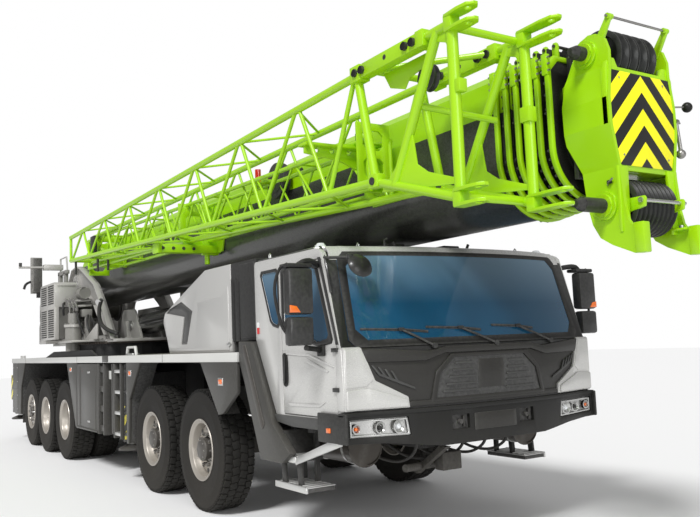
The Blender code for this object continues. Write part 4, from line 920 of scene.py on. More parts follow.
hood = Piece("engine_hood")
HOOD_BASE = 1.695
hood_outline = [(-1.02, HOOD_BASE), (-1.10, 1.86), (-1.225, 2.07), (-1.215, 2.13), (-1.165, 2.19),
    (-0.60, 2.375), (-0.03, 2.555), (0.11, 2.60), (0.78, 2.60), (0.78, 2.44), (0.78, HOOD_BASE)]
sunk_band = [(-1.03, 2.235), (-0.62, 2.30), (-0.28, 2.17), (-0.46, 1.80), (-0.66, 1.80), (-0.56, 2.12),
    (-1.13, 2.19)]
for _, side in SIDES:
    hood.add(BODY_WHITE, plate("XZ", beside(side, 1.36, 1.395), hood_outline, sunk_band, rounding=0.014))
    hood.add(BODY_WHITE, plate("XZ", beside(side, 1.385, 1.402),
        [(-0.98, HOOD_BASE + 0.02), (0.72, HOOD_BASE + 0.02), (0.72, 2.38), (0.55, 2.28), (-0.14, 2.26),
        (-0.10, 2.21), (-0.16, 2.00), (-0.22, 1.77), (-1.00, 1.77)], rounding=0.012))
    hood.add(BAND_GREY, plate("XZ", beside(side, 1.35, 1.378), sunk_band, rounding=0.0))
    hood.add(BAND_GREY, plate("XZ", beside(side, 1.372, 1.384),
        [(-0.98, 2.235), (-0.65, 2.275), (-0.34, 2.17), (-0.48, 1.83), (-0.62, 1.83), (-0.50, 2.15),
        (-0.62, 2.20)], rounding=0.006))
    reflector = [(0.66, 1.775), (0.72, 1.80), (0.78, 1.775), (0.72, 1.75)]
    hood.add(BARE_STEEL, plate("XZ", beside(side, 1.395, 1.408), reflector, rounding=0.003))
    rib_frame = beside(side, 1.34, 1.392)
    hood.add(DEEP_BLACK, plate("XZ", rib_frame, [(0.785, 1.80), (1.36, 1.80), (1.36, 2.60), (0.785, 2.60)],
        rounding=0.012), plate("XZ", beside(side, 1.385, 1.40),
        [(0.80, 1.83), (0.86, 1.80), (0.86, 2.40), (0.80, 2.45)], rounding=0.006),
        plate("XZ", beside(side, 1.385, 1.40), [(0.90, 1.80), (0.98, 1.80), (0.98, 2.40), (0.90, 2.45)],
        rounding=0.006), block((1.00, 1.34), beside(side, 1.385, 1.398), (1.83, 2.57), 0.010))
    hood.add(RED_TAPE, block((1.425, 1.465), beside(side, 1.420, 1.424), (1.86, 1.92), 0.0))
    hood.add(WHITE_TAPE, block((1.425, 1.465), beside(side, 1.420, 1.424), (1.92, 1.97), 0.0))
top_line = [(-1.225, 2.07), (-1.215, 2.13), (-1.165, 2.19), (-0.60, 2.375), (-0.03, 2.555), (0.11, 2.60),
    (0.78, 2.60)]
for start, end in zip(top_line, top_line[1:]):
    hood.add(BODY_WHITE, plate("XZ", (-1.365, 1.365), strip(start, end, (0, -0.03), (0.005, -0.03)),
        rounding=0.0))
hood.add(DEEP_BLACK, block((0.77, 1.36), (-1.35, 1.35), (2.57, 2.60), 0.006),
    block((0.77, 0.80), (-1.36, 1.36), (HOOD_BASE, 2.58), 0.0),
    block((1.33, 1.36), (-1.35, 1.35), (1.80, 2.58), 0.0))
hood.add(BODY_WHITE, plate("XZ", (-1.365, 1.365),
    [(-1.02, HOOD_BASE), (-1.225, 2.07), (-1.195, 2.07), (-0.99, HOOD_BASE)], rounding=0.0))
slat = loose_block((-0.012, 0.012), (-1.1, 1.1), (-0.010, 0.010), 0.003)
behind = spot(-1.135, 0, 1.80)
repeat(hood, ROW, DEEP_BLACK, slat, behind, Count=7, Step=(-0.0206, 0, 0.035))
hatch = loose_block((-0.30, 0.30), (-0.010, 0.010), (0.0, 0.012), 0.003)
repeat(hood, ROW, DEEP_BLACK, hatch, spot(0.42, -0.66, 2.596), Count=12, Step=(0, 0.12, 0))
hood.add(DEEP_BLACK, post(1.06, -1.05, (2.10, 2.64), 0.06, 28, rounding=0.008))
hood.ride("carrier", "body_white", "engine_housing")


# ------------------------------------------------------------------------------ carrier cab shell
# A hollow two-door steel cab with a swept front: silver-white sides, roof and corners, dark pillars. Its
# front stands furthest forward in the middle and sweeps back to the corners.
NOSE_X, NOSE_SWEEP, SWEEP_HALF = 3.09, 0.17, 1.30


def nose(z):
    """How far ahead of axle 1 the middle of the cab front stands at a height."""
    for (low, low_x), (high, high_x) in (((0.0, NOSE_X), (1.69, NOSE_X)), ((1.69, NOSE_X), (1.72, 3.07)),
            ((1.72, 3.07), (2.50, 2.835)), ((2.50, 2.835), (2.57, 2.76))):
        if z <= high:
            return low_x + (high_x - low_x) * (z - low) / (high - low)
    return 2.76


def sweep(y):
    """How far the cab front falls back at a distance from the middle line."""
    return NOSE_SWEEP * min(1.0, abs(y) / SWEEP_HALF) ** 2.3


def face(depth, *loops, rounding=0.004, follow=True):
    """A panel of the cab front, depth measured outward from the swept face."""
    flat_panel = plate("YZ", depth, *loops, rounding=rounding)
    bm = bmesh.new()
    bm.from_mesh(flat_panel)
    bpy.data.meshes.remove(flat_panel)
    for step in range(-14, 15):
        bmesh.ops.bisect_plane(bm, geom=bm.verts[:] + bm.edges[:] + bm.faces[:], dist=0.0001,
            plane_co=(0, step * 0.1, 0), plane_no=(0, 1, 0))
    for level in (1.69, 1.72, 2.50):
        bmesh.ops.bisect_plane(bm, geom=bm.verts[:] + bm.edges[:] + bm.faces[:], dist=0.0001,
            plane_co=(0, 0, level), plane_no=(0, 0, 1))
    for corner in bm.verts:
        corner.co.x += (nose(corner.co.z) if follow else NOSE_X) - sweep(corner.co.y)
    return shape_mesh(bm)


def both_ways(loop):
    """The same loop on the other side, still in one turning direction."""
    return [(-y, z) for y, z in reversed(loop)]


def softened(loop, cut):
    """An outline with its corners cut off, which reads as a rounded corner."""
    soft = []
    for i, corner in enumerate(loop):
        for other in (loop[i - 1], loop[(i + 1) % len(loop)]):
            reach = math.hypot(other[0] - corner[0], other[1] - corner[1])
            part_way = min(cut / reach, 0.45)
            soft.append((corner[0] + (other[0] - corner[0]) * part_way,
                corner[1] + (other[1] - corner[1]) * part_way))
    return soft


CAB_WHITE = finish("cab_white", (0.55, 0.545, 0.53), 0.27, metallic=0.25, coat=0.4, depth=0.0002, dust=0.05,
    patchy=0.03)
PILLAR_DARK = finish("pillar_dark", (0.013, 0.013, 0.013), 0.35, coat=0.2, dust=0.05)
SILL_GREY = finish("sill_grey", (0.050, 0.050, 0.049), 0.42, coat=0.08, dust=0.10)
DOOR_HOLE = [(1.905, 1.13), (2.84, 1.13), (2.84, 1.73), (2.60, 2.46), (1.905, 2.46)]
DOOR_PANE = [(1.97, 2.40), (2.54, 2.40), (2.74, 1.79), (2.55, 1.755), (2.41, 1.80), (1.97, 1.93)]
REAR_PANE = [(1.53, 2.42), (1.86, 2.42), (1.86, 1.92), (1.72, 1.96)]
CAB_SIDE = [(1.39, 2.52), (1.41, 2.55), (2.58, 2.55), (2.63, 2.53), (2.665, 2.50), (2.90, 1.72),
    (2.915, 1.69), (2.915, 1.19), (2.86, 1.18), (2.86, 1.06), (1.80, 1.06), (1.39, 1.80)]
shell = Piece("cab_shell")
for _, side in SIDES:
    wall = beside(side, 1.37, 1.42)
    shell.add(CAB_WHITE, plate("XZ", wall, CAB_SIDE, DOOR_HOLE, softened(REAR_PANE, 0.03), rounding=0.005))
    shell.add(PILLAR_DARK, plate("XZ", beside(side, 1.415, 1.426),
        [(2.60, 2.47), (2.645, 2.47), (2.885, 1.73), (2.845, 1.73)], rounding=0.004),
        plate("XZ", beside(side, 1.414, 1.424),
        softened([(1.50, 2.45), (1.89, 2.45), (1.89, 1.89), (1.71, 1.93)], 0.04), softened(REAR_PANE, 0.03),
        rounding=0.003))
    shell.add(SILL_GREY, plate("XZ", beside(side, 1.418, 1.440),
        [(1.76, 1.125), (2.86, 1.125), (2.86, 1.03), (2.10, 1.03), (1.81, 1.06)], rounding=0.006))
    shell.add(BARE_STEEL, pipe([(1.60, side * 1.36, 2.545), (1.60, side * 1.36, 2.60),
        (1.615, side * 1.36, 2.615), (1.63, side * 1.36, 2.60), (1.63, side * 1.36, 2.545)], 0.006, 8))
    shell.add(BARE_STEEL, pipe([(2.50, side * 0.95, 2.555), (2.50, side * 0.95, 2.60),
        (2.515, side * 0.95, 2.615), (2.53, side * 0.95, 2.60), (2.53, side * 0.95, 2.555)], 0.006, 8))
    shell.add(PILLAR_DARK, pipe([(1.45, side * 1.40, 2.555), (2.50, side * 1.40, 2.555),
        (2.60, side * 1.405, 2.50), (2.66, side * 1.418, 2.44)], 0.009, 8))
    shell.add(CLEAR_LENS, lathe([(0.0, 0.055), (0.03, 0.050), (0.05, 0.025), (0.06, 0.0), (0.0, 0.0)],
        spot(2.46, side * 1.30, 2.56), 24))
    shell.add(CAB_WHITE, post(2.20, side * 1.20, (2.555, 2.63), 0.014, 12, 0.004))
roof_front = [(2.765 - sweep(0.1 * step), 0.1 * step) for step in range(-13, 14)]
shell.add(CAB_WHITE, plate("XY", (2.515, 2.57),
    [(1.39, 1.38), (1.39, -1.38), (2.50, -1.40)] + roof_front + [(2.50, 1.40)], rounding=0.016),
    plate("XZ", (-1.39, 1.39), [(1.39, 2.54), (1.42, 2.54), (1.42, 1.80), (1.83, 1.06), (1.80, 1.06),
    (1.39, 1.79)], rounding=0.0), block((1.80, 2.86), (-1.40, 1.40), (1.06, 1.10), 0.004))
shell.add(CAB_WHITE, face((-0.012, 0.010), [(-1.36, 2.44), (-1.34, 2.56), (1.34, 2.56), (1.36, 2.44)],
    rounding=0.003))
shell.add(PILLAR_DARK, face((-0.035, 0.004), [(-1.415, 1.15), (-1.415, 1.70), (-1.40, 2.46), (1.40, 2.46),
    (1.415, 1.70), (1.415, 1.15)], softened([(-1.27, 1.765), (-1.20, 2.475), (1.20, 2.475), (1.27, 1.765)],
    0.07), rounding=0.0))
shell.add(CAB_WHITE, block((1.48, 2.58), (-1.20, -0.60), (2.566, 2.576), 0.008),
    block((1.48, 2.58), (0.60, 1.20), (2.566, 2.576), 0.008))
shell.add(PILLAR_DARK, pipe([(2.46, -0.62, 2.57), (2.46, -0.62, 2.66), (2.50, -0.62, 2.67)], 0.010, 8),
    pipe([(2.48, -1.33, 2.57), (2.56, -1.36, 2.56), (2.70, -1.40, 2.42), (2.78, -1.41, 2.16)], 0.011, 8,
    curved=True), rod((2.66, -1.405, 2.46), (2.90, -1.30, 2.44), 0.013, 12),
    block((2.885, 2.925), (-1.315, -1.265), (2.40, 2.47), 0.008))
round_glass = spot(2.945, -1.22, 2.37) @ Matrix.Rotation(math.radians(62), 4, "Y")
shell.add(PILLAR_DARK, lathe([(0.0, 0.045), (0.05, 0.040), (0.10, 0.016), (0.112, 0.0), (0.108, -0.010),
    (0.0, -0.010)], round_glass, 36))
shell.add(BARE_STEEL, lathe([(0.0, -0.009), (0.104, -0.009), (0.104, -0.013), (0.0, -0.013)], round_glass,
    36))
shell.ride("carrier", "body_white", "carrier_cab")


# ------------------------------------------------------------------------------ glass
# Blue-tinted laminated panes: one broad swept windscreen, a small pane behind each door and the door panes.
# The windscreen has a black printed border and three wipers that lie to the right.
def tinted(name, colour, roughness=0.03):
    """Window glass: plain metallic and transmission values, faint waves, paler where it mirrors the sky."""
    made, nodes, links, shader, worked, bump = base_finish(name,
        {"Metallic": 0.0, "Transmission Weight": 0.22, "Coat Weight": 0.15, "Coat Roughness": 0.03,
        "IOR": 1.38}, {"Roughness": roughness, "Patchiness": 0.10, "Grain Scale": 1.2, "Dust": 0.01,
        "Dust Height": 2.2, "Edge Wear": 0.0}, 0.002, 0.03)
    where, parts = nodes.new("ShaderNodeTexCoord"), nodes.new("ShaderNodeSeparateXYZ")
    links.new(where.outputs["Object"], parts.inputs[0])
    climb = nodes.new("ShaderNodeMapRange")
    climb.inputs["From Min"].default_value = 2.05
    climb.inputs["From Max"].default_value = 2.55
    links.new(parts.outputs["Z"], climb.inputs["Value"])
    shaded = mixed(nodes, links, climb.outputs["Result"], (*colour, 1.0), (0.16, 0.27, 0.37, 1.0))
    links.new(shaded, worked.inputs["Colour"])
    links.new(worked.outputs["Height"], bump.inputs["Height"])
    return made


BLUE_GLASS = tinted("blue_glass", (0.012, 0.078, 0.155))
SCREEN_LOOP = [(-1.335, 1.70), (-1.285, 2.515), (1.285, 2.515), (1.335, 1.70)]
screen = Piece("windscreen")
screen.add(BLUE_GLASS, face((0.006, 0.014), softened(SCREEN_LOOP, 0.06), rounding=0.0))
screen.add(DEEP_BLACK, face((0.010, 0.0155), softened(SCREEN_LOOP, 0.06),
    softened([(-1.262, 1.758), (-1.222, 2.475), (1.222, 2.475), (1.262, 1.758)], 0.09), rounding=0.0))
screen.ride("carrier", "window_glass", "windshield")

quarter = Piece("rear_side_panes")
for _, side in SIDES:
    quarter.add(BLUE_GLASS, plate("XZ", beside(side, 1.405, 1.412),
        [(1.515, 2.435), (1.875, 2.435), (1.875, 1.90), (1.71, 1.945)], rounding=0.0))
quarter.ride("carrier", "window_glass")

wipers = Piece("wipers")
for pivot_y, knee_y, tip_low, tip_high in ((-0.60, -0.87, -0.62, -1.22), (0.07, -0.28, -0.06, -0.63),
        (0.80, 0.40, 0.60, 0.08)):
    def on_glass(y, z, off=0.03):
        return (nose(z) - sweep(y) + off, y, z)

    wipers.add(DEEP_BLACK, rod(on_glass(pivot_y, 1.69, 0.0), on_glass(pivot_y, 1.69, 0.04), 0.024, 16),
        pipe([on_glass(pivot_y, 1.69), on_glass((pivot_y + knee_y) / 2, 1.765, 0.035),
        on_glass(knee_y, 1.835, 0.03)], 0.010, 8),
        pipe([on_glass(tip_low, 1.815, 0.024), on_glass(knee_y, 1.838, 0.030),
        on_glass(tip_high, 1.852, 0.024)], 0.006, 8),
        pipe([on_glass(tip_low, 1.805, 0.018), on_glass(knee_y, 1.826, 0.018),
        on_glass(tip_high, 1.845, 0.018)], 0.006, 6),
        block((nose(1.84) - sweep(knee_y) + 0.024, nose(1.84) - sweep(knee_y) + 0.046),
        (knee_y - 0.035, knee_y + 0.025), (1.825, 1.850), 0.006))
wipers.ride("carrier", "window_glass")


# ------------------------------------------------------------------------------ cab front
# A dark-grey moulded grille with a raised hexagon of slats, side vents and an eyebrow edge, between two
# faceted silver-white corners. The mark's place in the middle stays blank.
GRILLE_GREY = finish("grille_grey", (0.024, 0.023, 0.021), 0.38, coat=0.12, depth=0.0003, dust=0.08)
grille = Piece("grille_panel_front")
panel_loop = [(-1.36, 1.70), (-0.66, 1.645), (-0.48, 1.675), (0.48, 1.675), (0.66, 1.645), (1.36, 1.70),
    (1.30, 1.20), (-1.30, 1.20)]
grille.add(GRILLE_GREY, face((0.002, 0.012), panel_loop, rounding=0.003))
brow = [(-1.34, 1.70), (-0.66, 1.65), (-0.48, 1.682), (0.48, 1.682), (0.66, 1.65), (1.34, 1.70),
    (1.27, 1.575), (0.70, 1.570), (0.50, 1.625), (-0.50, 1.625), (-0.70, 1.570), (-1.27, 1.575)]
grille.add(GRILLE_GREY, face((0.004, 0.034), brow, rounding=0.010))
hexagon = [(-0.44, 1.615), (0.44, 1.615), (0.60, 1.47), (0.66, 1.225), (-0.66, 1.225), (-0.60, 1.47)]
inner_hexagon = [(-0.40, 1.585), (0.40, 1.585), (0.555, 1.455), (0.605, 1.255), (-0.605, 1.255),
    (-0.555, 1.455)]
grille.add(GRILLE_GREY, face((0.006, 0.030), hexagon, inner_hexagon, rounding=0.007))
grille.add(PILLAR_DARK, face((0.008, 0.016), inner_hexagon, rounding=0.0))
for row in range(5):
    slat_z = 1.545 - 0.058 * row
    inner_y, outer_y = 0.20 - 0.012 * row, 0.40 + 0.034 * row
    for _, side in SIDES:
        span = beside(side, inner_y, outer_y)
        grille.add(SILL_GREY, face((0.012, 0.030),
            [(span[0], slat_z - 0.020), (span[1], slat_z - 0.020), (span[1] - 0.012, slat_z),
            (span[0] + 0.012, slat_z)], rounding=0.006))
grille.add(GRILLE_GREY, face((0.014, 0.020), [(-0.15, 1.31), (0.15, 1.31), (0.15, 1.56), (-0.15, 1.56)],
    rounding=0.003))
grille.add(GRILLE_GREY, face((0.004, 0.026), [(-0.90, 1.20), (-0.84, 1.245), (0.84, 1.245), (0.90, 1.20)],
    rounding=0.006))
for _, side in SIDES:
    for step in range(4):
        high, low = (1.18 - 0.055 * step, 1.555 - 0.018 * step), (1.115 - 0.052 * step, 1.465 - 0.022 * step)
        vent = [(high[0], high[1]), (low[0], low[1]), (low[0] - 0.16, low[1] - 0.060),
            (low[0] - 0.155, low[1] - 0.040), (low[0] - 0.012, low[1] + 0.018),
            (high[0] - 0.022, high[1] - 0.004)]
        grille.add(SILL_GREY, face((0.010, 0.028), vent if side > 0 else both_ways(vent), rounding=0.005))
grille.ride("carrier", "dark_panel", "grille_panel")

corners_white = Piece("cab_front_corners")
for _, side in SIDES:
    outer = [(1.425, 1.705), (1.425, 1.195), (0.86, 1.195), (0.87, 1.285), (1.15, 1.43), (1.205, 1.57),
        (1.26, 1.705)]
    raised = [(1.418, 1.36), (1.418, 1.205), (0.885, 1.205), (0.89, 1.265), (1.22, 1.375)]
    facet = [(1.418, 1.69), (1.418, 1.375), (1.235, 1.385), (1.17, 1.435), (1.225, 1.57), (1.275, 1.69)]
    for loop, depth in ((outer, (0.0, 0.036)), (raised, (0.026, 0.054)), (facet, (0.026, 0.044))):
        corners_white.add(CAB_WHITE, face(depth, loop if side > 0 else both_ways(loop), rounding=0.010))
    corners_white.add(CAB_WHITE, plate("XZ", beside(side, 1.39, 1.432),
        [(2.84, 1.695), (2.93, 1.695), (2.945, 1.36), (2.935, 1.195), (2.84, 1.195)], rounding=0.012))
corners_white.ride("carrier", "body_white")


# ------------------------------------------------------------------------------ bumper
# A black steel bumper that follows the sweep, with a headlamp unit in each corner, two square towing
# recesses and a blank plate between them.
bumper_piece = Piece("bumper_and_headlamps")
BUMPER_BLACK = finish("bumper_black", (0.011, 0.011, 0.0105), 0.42, coat=0.04, depth=0.0004, dust=0.08)
bar_loop = [(-1.45, 1.178), (1.45, 1.178), (1.45, 0.94), (1.05, 0.925), (0.62, 0.87), (-0.62, 0.87),
    (-1.05, 0.925), (-1.45, 0.94)]
lamp_loop = [(0.865, 0.975), (1.395, 0.985), (1.395, 1.125), (0.885, 1.125)]
pockets = [[(y - 0.09, 0.985), (y + 0.09, 0.985), (y + 0.09, 1.105), (y - 0.09, 1.105)] for y in (-0.38,
    0.38)]
holes = [lamp_loop, both_ways(lamp_loop)] + pockets
bumper_piece.add(BUMPER_BLACK, face((0.0, 0.040), bar_loop, *holes, rounding=0.006, follow=False))
bumper_piece.add(BUMPER_BLACK, face((-0.04, 0.048),
    [(-1.452, 1.150), (-1.452, 1.184), (1.452, 1.184), (1.452, 1.150)], rounding=0.008, follow=False),
    face((-0.06, 0.002), bar_loop, rounding=0.0, follow=False))
bumper_piece.add(DEEP_BLACK, *(face((0.000, 0.006), loop, rounding=0.0, follow=False) for loop in pockets))
for loop in pockets:
    middle = (loop[0][0] + loop[1][0]) / 2
    bumper_piece.add(CAST_IRON, rod((NOSE_X - 0.03, middle, 1.045), (NOSE_X + 0.03, middle, 1.045), 0.020,
        14), block((NOSE_X - 0.01, NOSE_X + 0.02), (middle + 0.03, middle + 0.045), (1.00, 1.09), 0.003))
bumper_piece.add(GRILLE_GREY, face((0.040, 0.046),
    [(-0.24, 0.965), (0.24, 0.965), (0.24, 1.105), (-0.24, 1.105)], rounding=0.003, follow=False))
for _, side in SIDES:
    shaped = lamp_loop if side > 0 else both_ways(lamp_loop)
    bumper_piece.add(BARE_STEEL, face((0.002, 0.010), shaped, rounding=0.0, follow=False))
    for lamp_y, lamp_r, inner in ((0.97, 0.058, CLEAR_LENS), (1.13, 0.050, DEEP_BLACK), (1.33, 0.040, AMBER)):
        bowl = spot(NOSE_X - sweep(lamp_y) + 0.010, side * lamp_y,
            1.052) @ Matrix.Rotation(math.radians(90), 4, "Y")
        bumper_piece.add(BARE_STEEL, lathe([(lamp_r, 0.030), (lamp_r - 0.010, 0.031), (lamp_r * 0.5, 0.010),
            (0.0, 0.006), (0.0, 0.0), (lamp_r, 0.0)], bowl, 28))
        bumper_piece.add(inner, lathe([(lamp_r * 0.42, 0.008), (lamp_r * 0.30, 0.026), (0.0, 0.030),
            (0.0, 0.0), (lamp_r * 0.42, 0.0)], bowl, 20))
    trim = [(0.872, 0.982), (1.388, 0.992), (1.388, 1.118), (0.892, 1.118)]
    hollow = [(0.892, 0.998), (1.372, 1.006), (1.372, 1.104), (0.906, 1.104)]
    bumper_piece.add(BARE_STEEL, face((0.012, 0.036), trim if side > 0 else both_ways(trim),
        hollow if side > 0 else both_ways(hollow), rounding=0.003, follow=False))
    bumper_piece.add(BUMPER_BLACK, block((2.55, 2.99), beside(side, 1.425, 1.452), (0.94, 1.178), 0.010))
    bumper_piece.add(AMBER, block((2.70, 2.76), beside(side, 1.445, 1.462), (1.02, 1.06), 0.006))
bumper_piece.ride("carrier", "chassis_black", "bumper")


# ------------------------------------------------------------------------------ cab interior
# Two cloth seats, a moulded dash and an instrument hood, seen through the glass. The seats and the dash keep
# the imported shapes; the rest is set on them.
TRIM_DARK = finish("trim_dark", (0.020, 0.020, 0.021), 0.6, grain=300.0, depth=0.0006, dust=0.03)
SEAT_CLOTH = finish("seat_cloth", (0.040, 0.043, 0.050), 0.85, grain=500.0, depth=0.0012, dust=0.03)
repaint("cab_interior", TRIM_DARK)
inside = Piece("seats_and_controls")
for seat_y in (-0.85, 0.85):
    inside.add(SEAT_CLOTH, block((1.86, 2.24), around(seat_y, 0.24), (1.48, 1.56), 0.03),
        block((1.72, 1.86), around(seat_y, 0.23), (1.56, 2.12), 0.04),
        block((1.73, 1.84), around(seat_y, 0.13), (2.14, 2.32), 0.03))
    inside.add(BARE_STEEL, *(post(1.79, seat_y + off, (2.08, 2.18), 0.008, 8) for off in (-0.07, 0.07)))
inside.add(TRIM_DARK, block((2.52, 2.70), (0.60, 1.10), (1.70, 1.78), 0.02),
    block((2.56, 2.72), (-0.25, 0.15), (1.60, 1.86), 0.02))
inside.ride("carrier", "dark_panel")


# ------------------------------------------------------------------------------ cab doors
# Pressed steel doors with a recessed black handle, crease lines, a black window seal, and each its own twin
# mirror on two arms with an orange corner lamp. They swing forward about the front hinges.
def door_shapes(door, side):
    """One cab door with its handle, hinges, mirrors and their arms."""
    skin = beside(side, 1.372, 1.419)
    door.add(CAB_WHITE, plate("XZ", skin, [(1.912, 1.137), (2.833, 1.137), (2.833, 1.728), (2.595, 2.453),
        (1.912, 2.453)], softened(DOOR_PANE, 0.03), rounding=0.007))
    door.add(PILLAR_DARK, plate("XZ", beside(side, 1.416, 1.425),
        softened([(1.93, 2.44), (2.575, 2.44), (2.81, 1.745), (2.56, 1.715), (2.40, 1.760), (1.93, 1.895)],
        0.03), softened(DOOR_PANE, 0.03), rounding=0.003))
    for crease in ([(1.93, 1.70), (2.40, 1.665), (2.80, 1.56), (2.80, 1.545), (2.40, 1.640), (1.93, 1.66)],
            [(2.00, 1.235), (2.55, 1.245), (2.66, 1.262), (2.55, 1.215), (2.05, 1.205)],
            [(2.30, 1.60), (2.70, 1.50), (2.72, 1.52), (2.35, 1.63)]):
        door.add(CAB_WHITE, plate("XZ", beside(side, 1.416, 1.427), crease, rounding=0.005))
    door.add(DEEP_BLACK, plate("XZ", beside(side, 1.415, 1.430),
        softened([(1.925, 1.675), (2.005, 1.675), (2.02, 1.60), (2.02, 1.42), (2.0, 1.375), (1.935, 1.375)],
        0.02), rounding=0.006))
    door.add(PILLAR_DARK, plate("XZ", beside(side, 1.430, 1.444),
        softened([(1.955, 1.655), (1.985, 1.655), (1.995, 1.56), (1.985, 1.40), (1.955, 1.40)], 0.01),
        rounding=0.005))
    for hinge_z in (1.35, 1.67):
        door.add(PILLAR_DARK, block((2.80, 2.888), beside(side, 1.424, 1.446), (hinge_z, hinge_z + 0.035),
            0.005))
    tall, small = (1.985, 2.36), (1.735, 1.965)
    door.add(PILLAR_DARK, block((2.665, 2.782), beside(side, 1.572, 1.802), tall, 0.026),
        block((2.665, 2.782), beside(side, 1.577, 1.797), small, 0.026))
    door.add(BARE_STEEL, block((2.657, 2.668), beside(side, 1.592, 1.782), (2.01, 2.335), 0.004),
        block((2.657, 2.668), beside(side, 1.597, 1.777), (1.76, 1.94), 0.004))
    door.add(AMBER, plate("YZ", (2.764, 2.786),
        [(side * 1.795, 2.0), (side * 1.700, 2.0), (side * 1.735, 2.05), (side * 1.795, 2.06)],
        rounding=0.003))
    door.add(DEEP_BLACK, pipe([(2.60, side * 1.425, 2.40), (2.66, side * 1.50, 2.42),
        (2.70, side * 1.60, 2.42), (2.69, side * 1.66, 2.39)], 0.026, 12, curved=True),
        pipe([(2.70, side * 1.76, 2.40), (2.66, side * 1.815, 2.36), (2.655, side * 1.815, 1.92),
        (2.68, side * 1.77, 1.82)], 0.013, 10, curved=True),
        pipe([(2.62, side * 1.425, 1.685), (2.66, side * 1.50, 1.70), (2.70, side * 1.62, 1.715)], 0.022,
        12, curved=True), block((2.62, 2.76), beside(side, 1.56, 1.80), (2.365, 2.40), 0.012),
        block((2.58, 2.68), beside(side, 1.42, 1.45), (1.64, 1.73), 0.010),
        block((2.53, 2.62), beside(side, 1.42, 1.45), (2.38, 2.44), 0.010))


for side_name, side in SIDES:
    door = Piece("door_skin_" + side_name)
    door_shapes(door, side)
    door.ride("door_" + side_name, "body_white", "door_" + side_name)
    pane = Piece("door_pane_" + side_name)
    pane.add(BLUE_GLASS, plate("XZ", beside(side, 1.402, 1.410),
        [(1.955, 2.415), (2.552, 2.415), (2.762, 1.780), (2.552, 1.740), (2.405, 1.786), (1.955, 1.918)],
        rounding=0.0))
    pane.ride("door_" + side_name, "window_glass", "door_glass_" + side_name)

rest_piece = Piece("boom_rest_saddle")
rest_piece.add(DEEP_BLACK, block((1.95, 2.35), (-0.46, 0.46), (2.571, 2.592), 0.006),
    *(block((2.04, 2.26), beside(side, 0.24, 0.44), (2.59, 2.66), 0.010) for _, side in SIDES),
    *(pipe([(2.37, side * 0.10, 2.58), (2.37, side * 0.42, 2.58), (2.37, side * 0.46, 2.66)], 0.014,
    8) for _, side in SIDES))
rest_piece.ride("carrier", "dark_panel", "boom_rest")


# ------------------------------------------------------------------------------ turntable
# The light-grey welded superstructure: a toothed slew ring, a base plate, two bent cheek beams that carry the
# boom foot, the louvred cooler box, the swing gearbox with its pumps and hoses, and the rail at the rear.
UPPER_GREY = finish("upper_grey", (0.40, 0.39, 0.37), 0.34, metallic=0.1, coat=0.2, depth=0.0004, dust=0.10,
    dust_height=3.0)
# Half the upper grey's colour, a shaded copy of it: painted shade on the rear posts, the cooler's inner
# block, the swing gearbox, the rear panels and the counterweight pads; it also draws the dark seams on the
# box side.
PAINTED_SHADE_AND_SEAM_GREY = finish("painted_shade_and_seam_grey", (0.20, 0.195, 0.18), 0.42, coat=0.12, depth=0.0006, dust=0.15,
    dust_height=3.0)
GEAR_GREASE = finish("gear_grease", (0.060, 0.048, 0.038), 0.38, metallic=0.5, grain=80.0, depth=0.001,
    dust=0.2, dust_height=2.2)
FOOT_PIN = (-8.30, 3.10)
upper = Piece("turntable_frame")
ring_place = spot(SLEW_X, 0, 0)
upper.add(GEAR_GREASE, lathe([(0.93, 1.900), (0.985, 1.900), (0.985, 1.945), (0.93, 1.945)], ring_place, 96,
    closed=True))
tooth = loose_block((-0.020, 0.016), (-0.014, 0.014), (1.903, 1.943), 0.003)
repeat(upper, RING, GEAR_GREASE, tooth, ring_place, Count=112, Radius=0.985)
stud = loose_block((-0.014, 0.014), (-0.014, 0.014), (1.980, 2.000), 0.004)
repeat(upper, RING, STUD_STEEL, stud, ring_place, Count=64, Radius=0.90)
upper.add(UPPER_GREY, lathe([(0.70, 1.945), (0.97, 1.945), (0.97, 1.980), (0.70, 1.980)], ring_place, 72,
    closed=True), block((-10.28, -5.60), (-0.66, 0.66), (1.925, 1.978), 0.006))

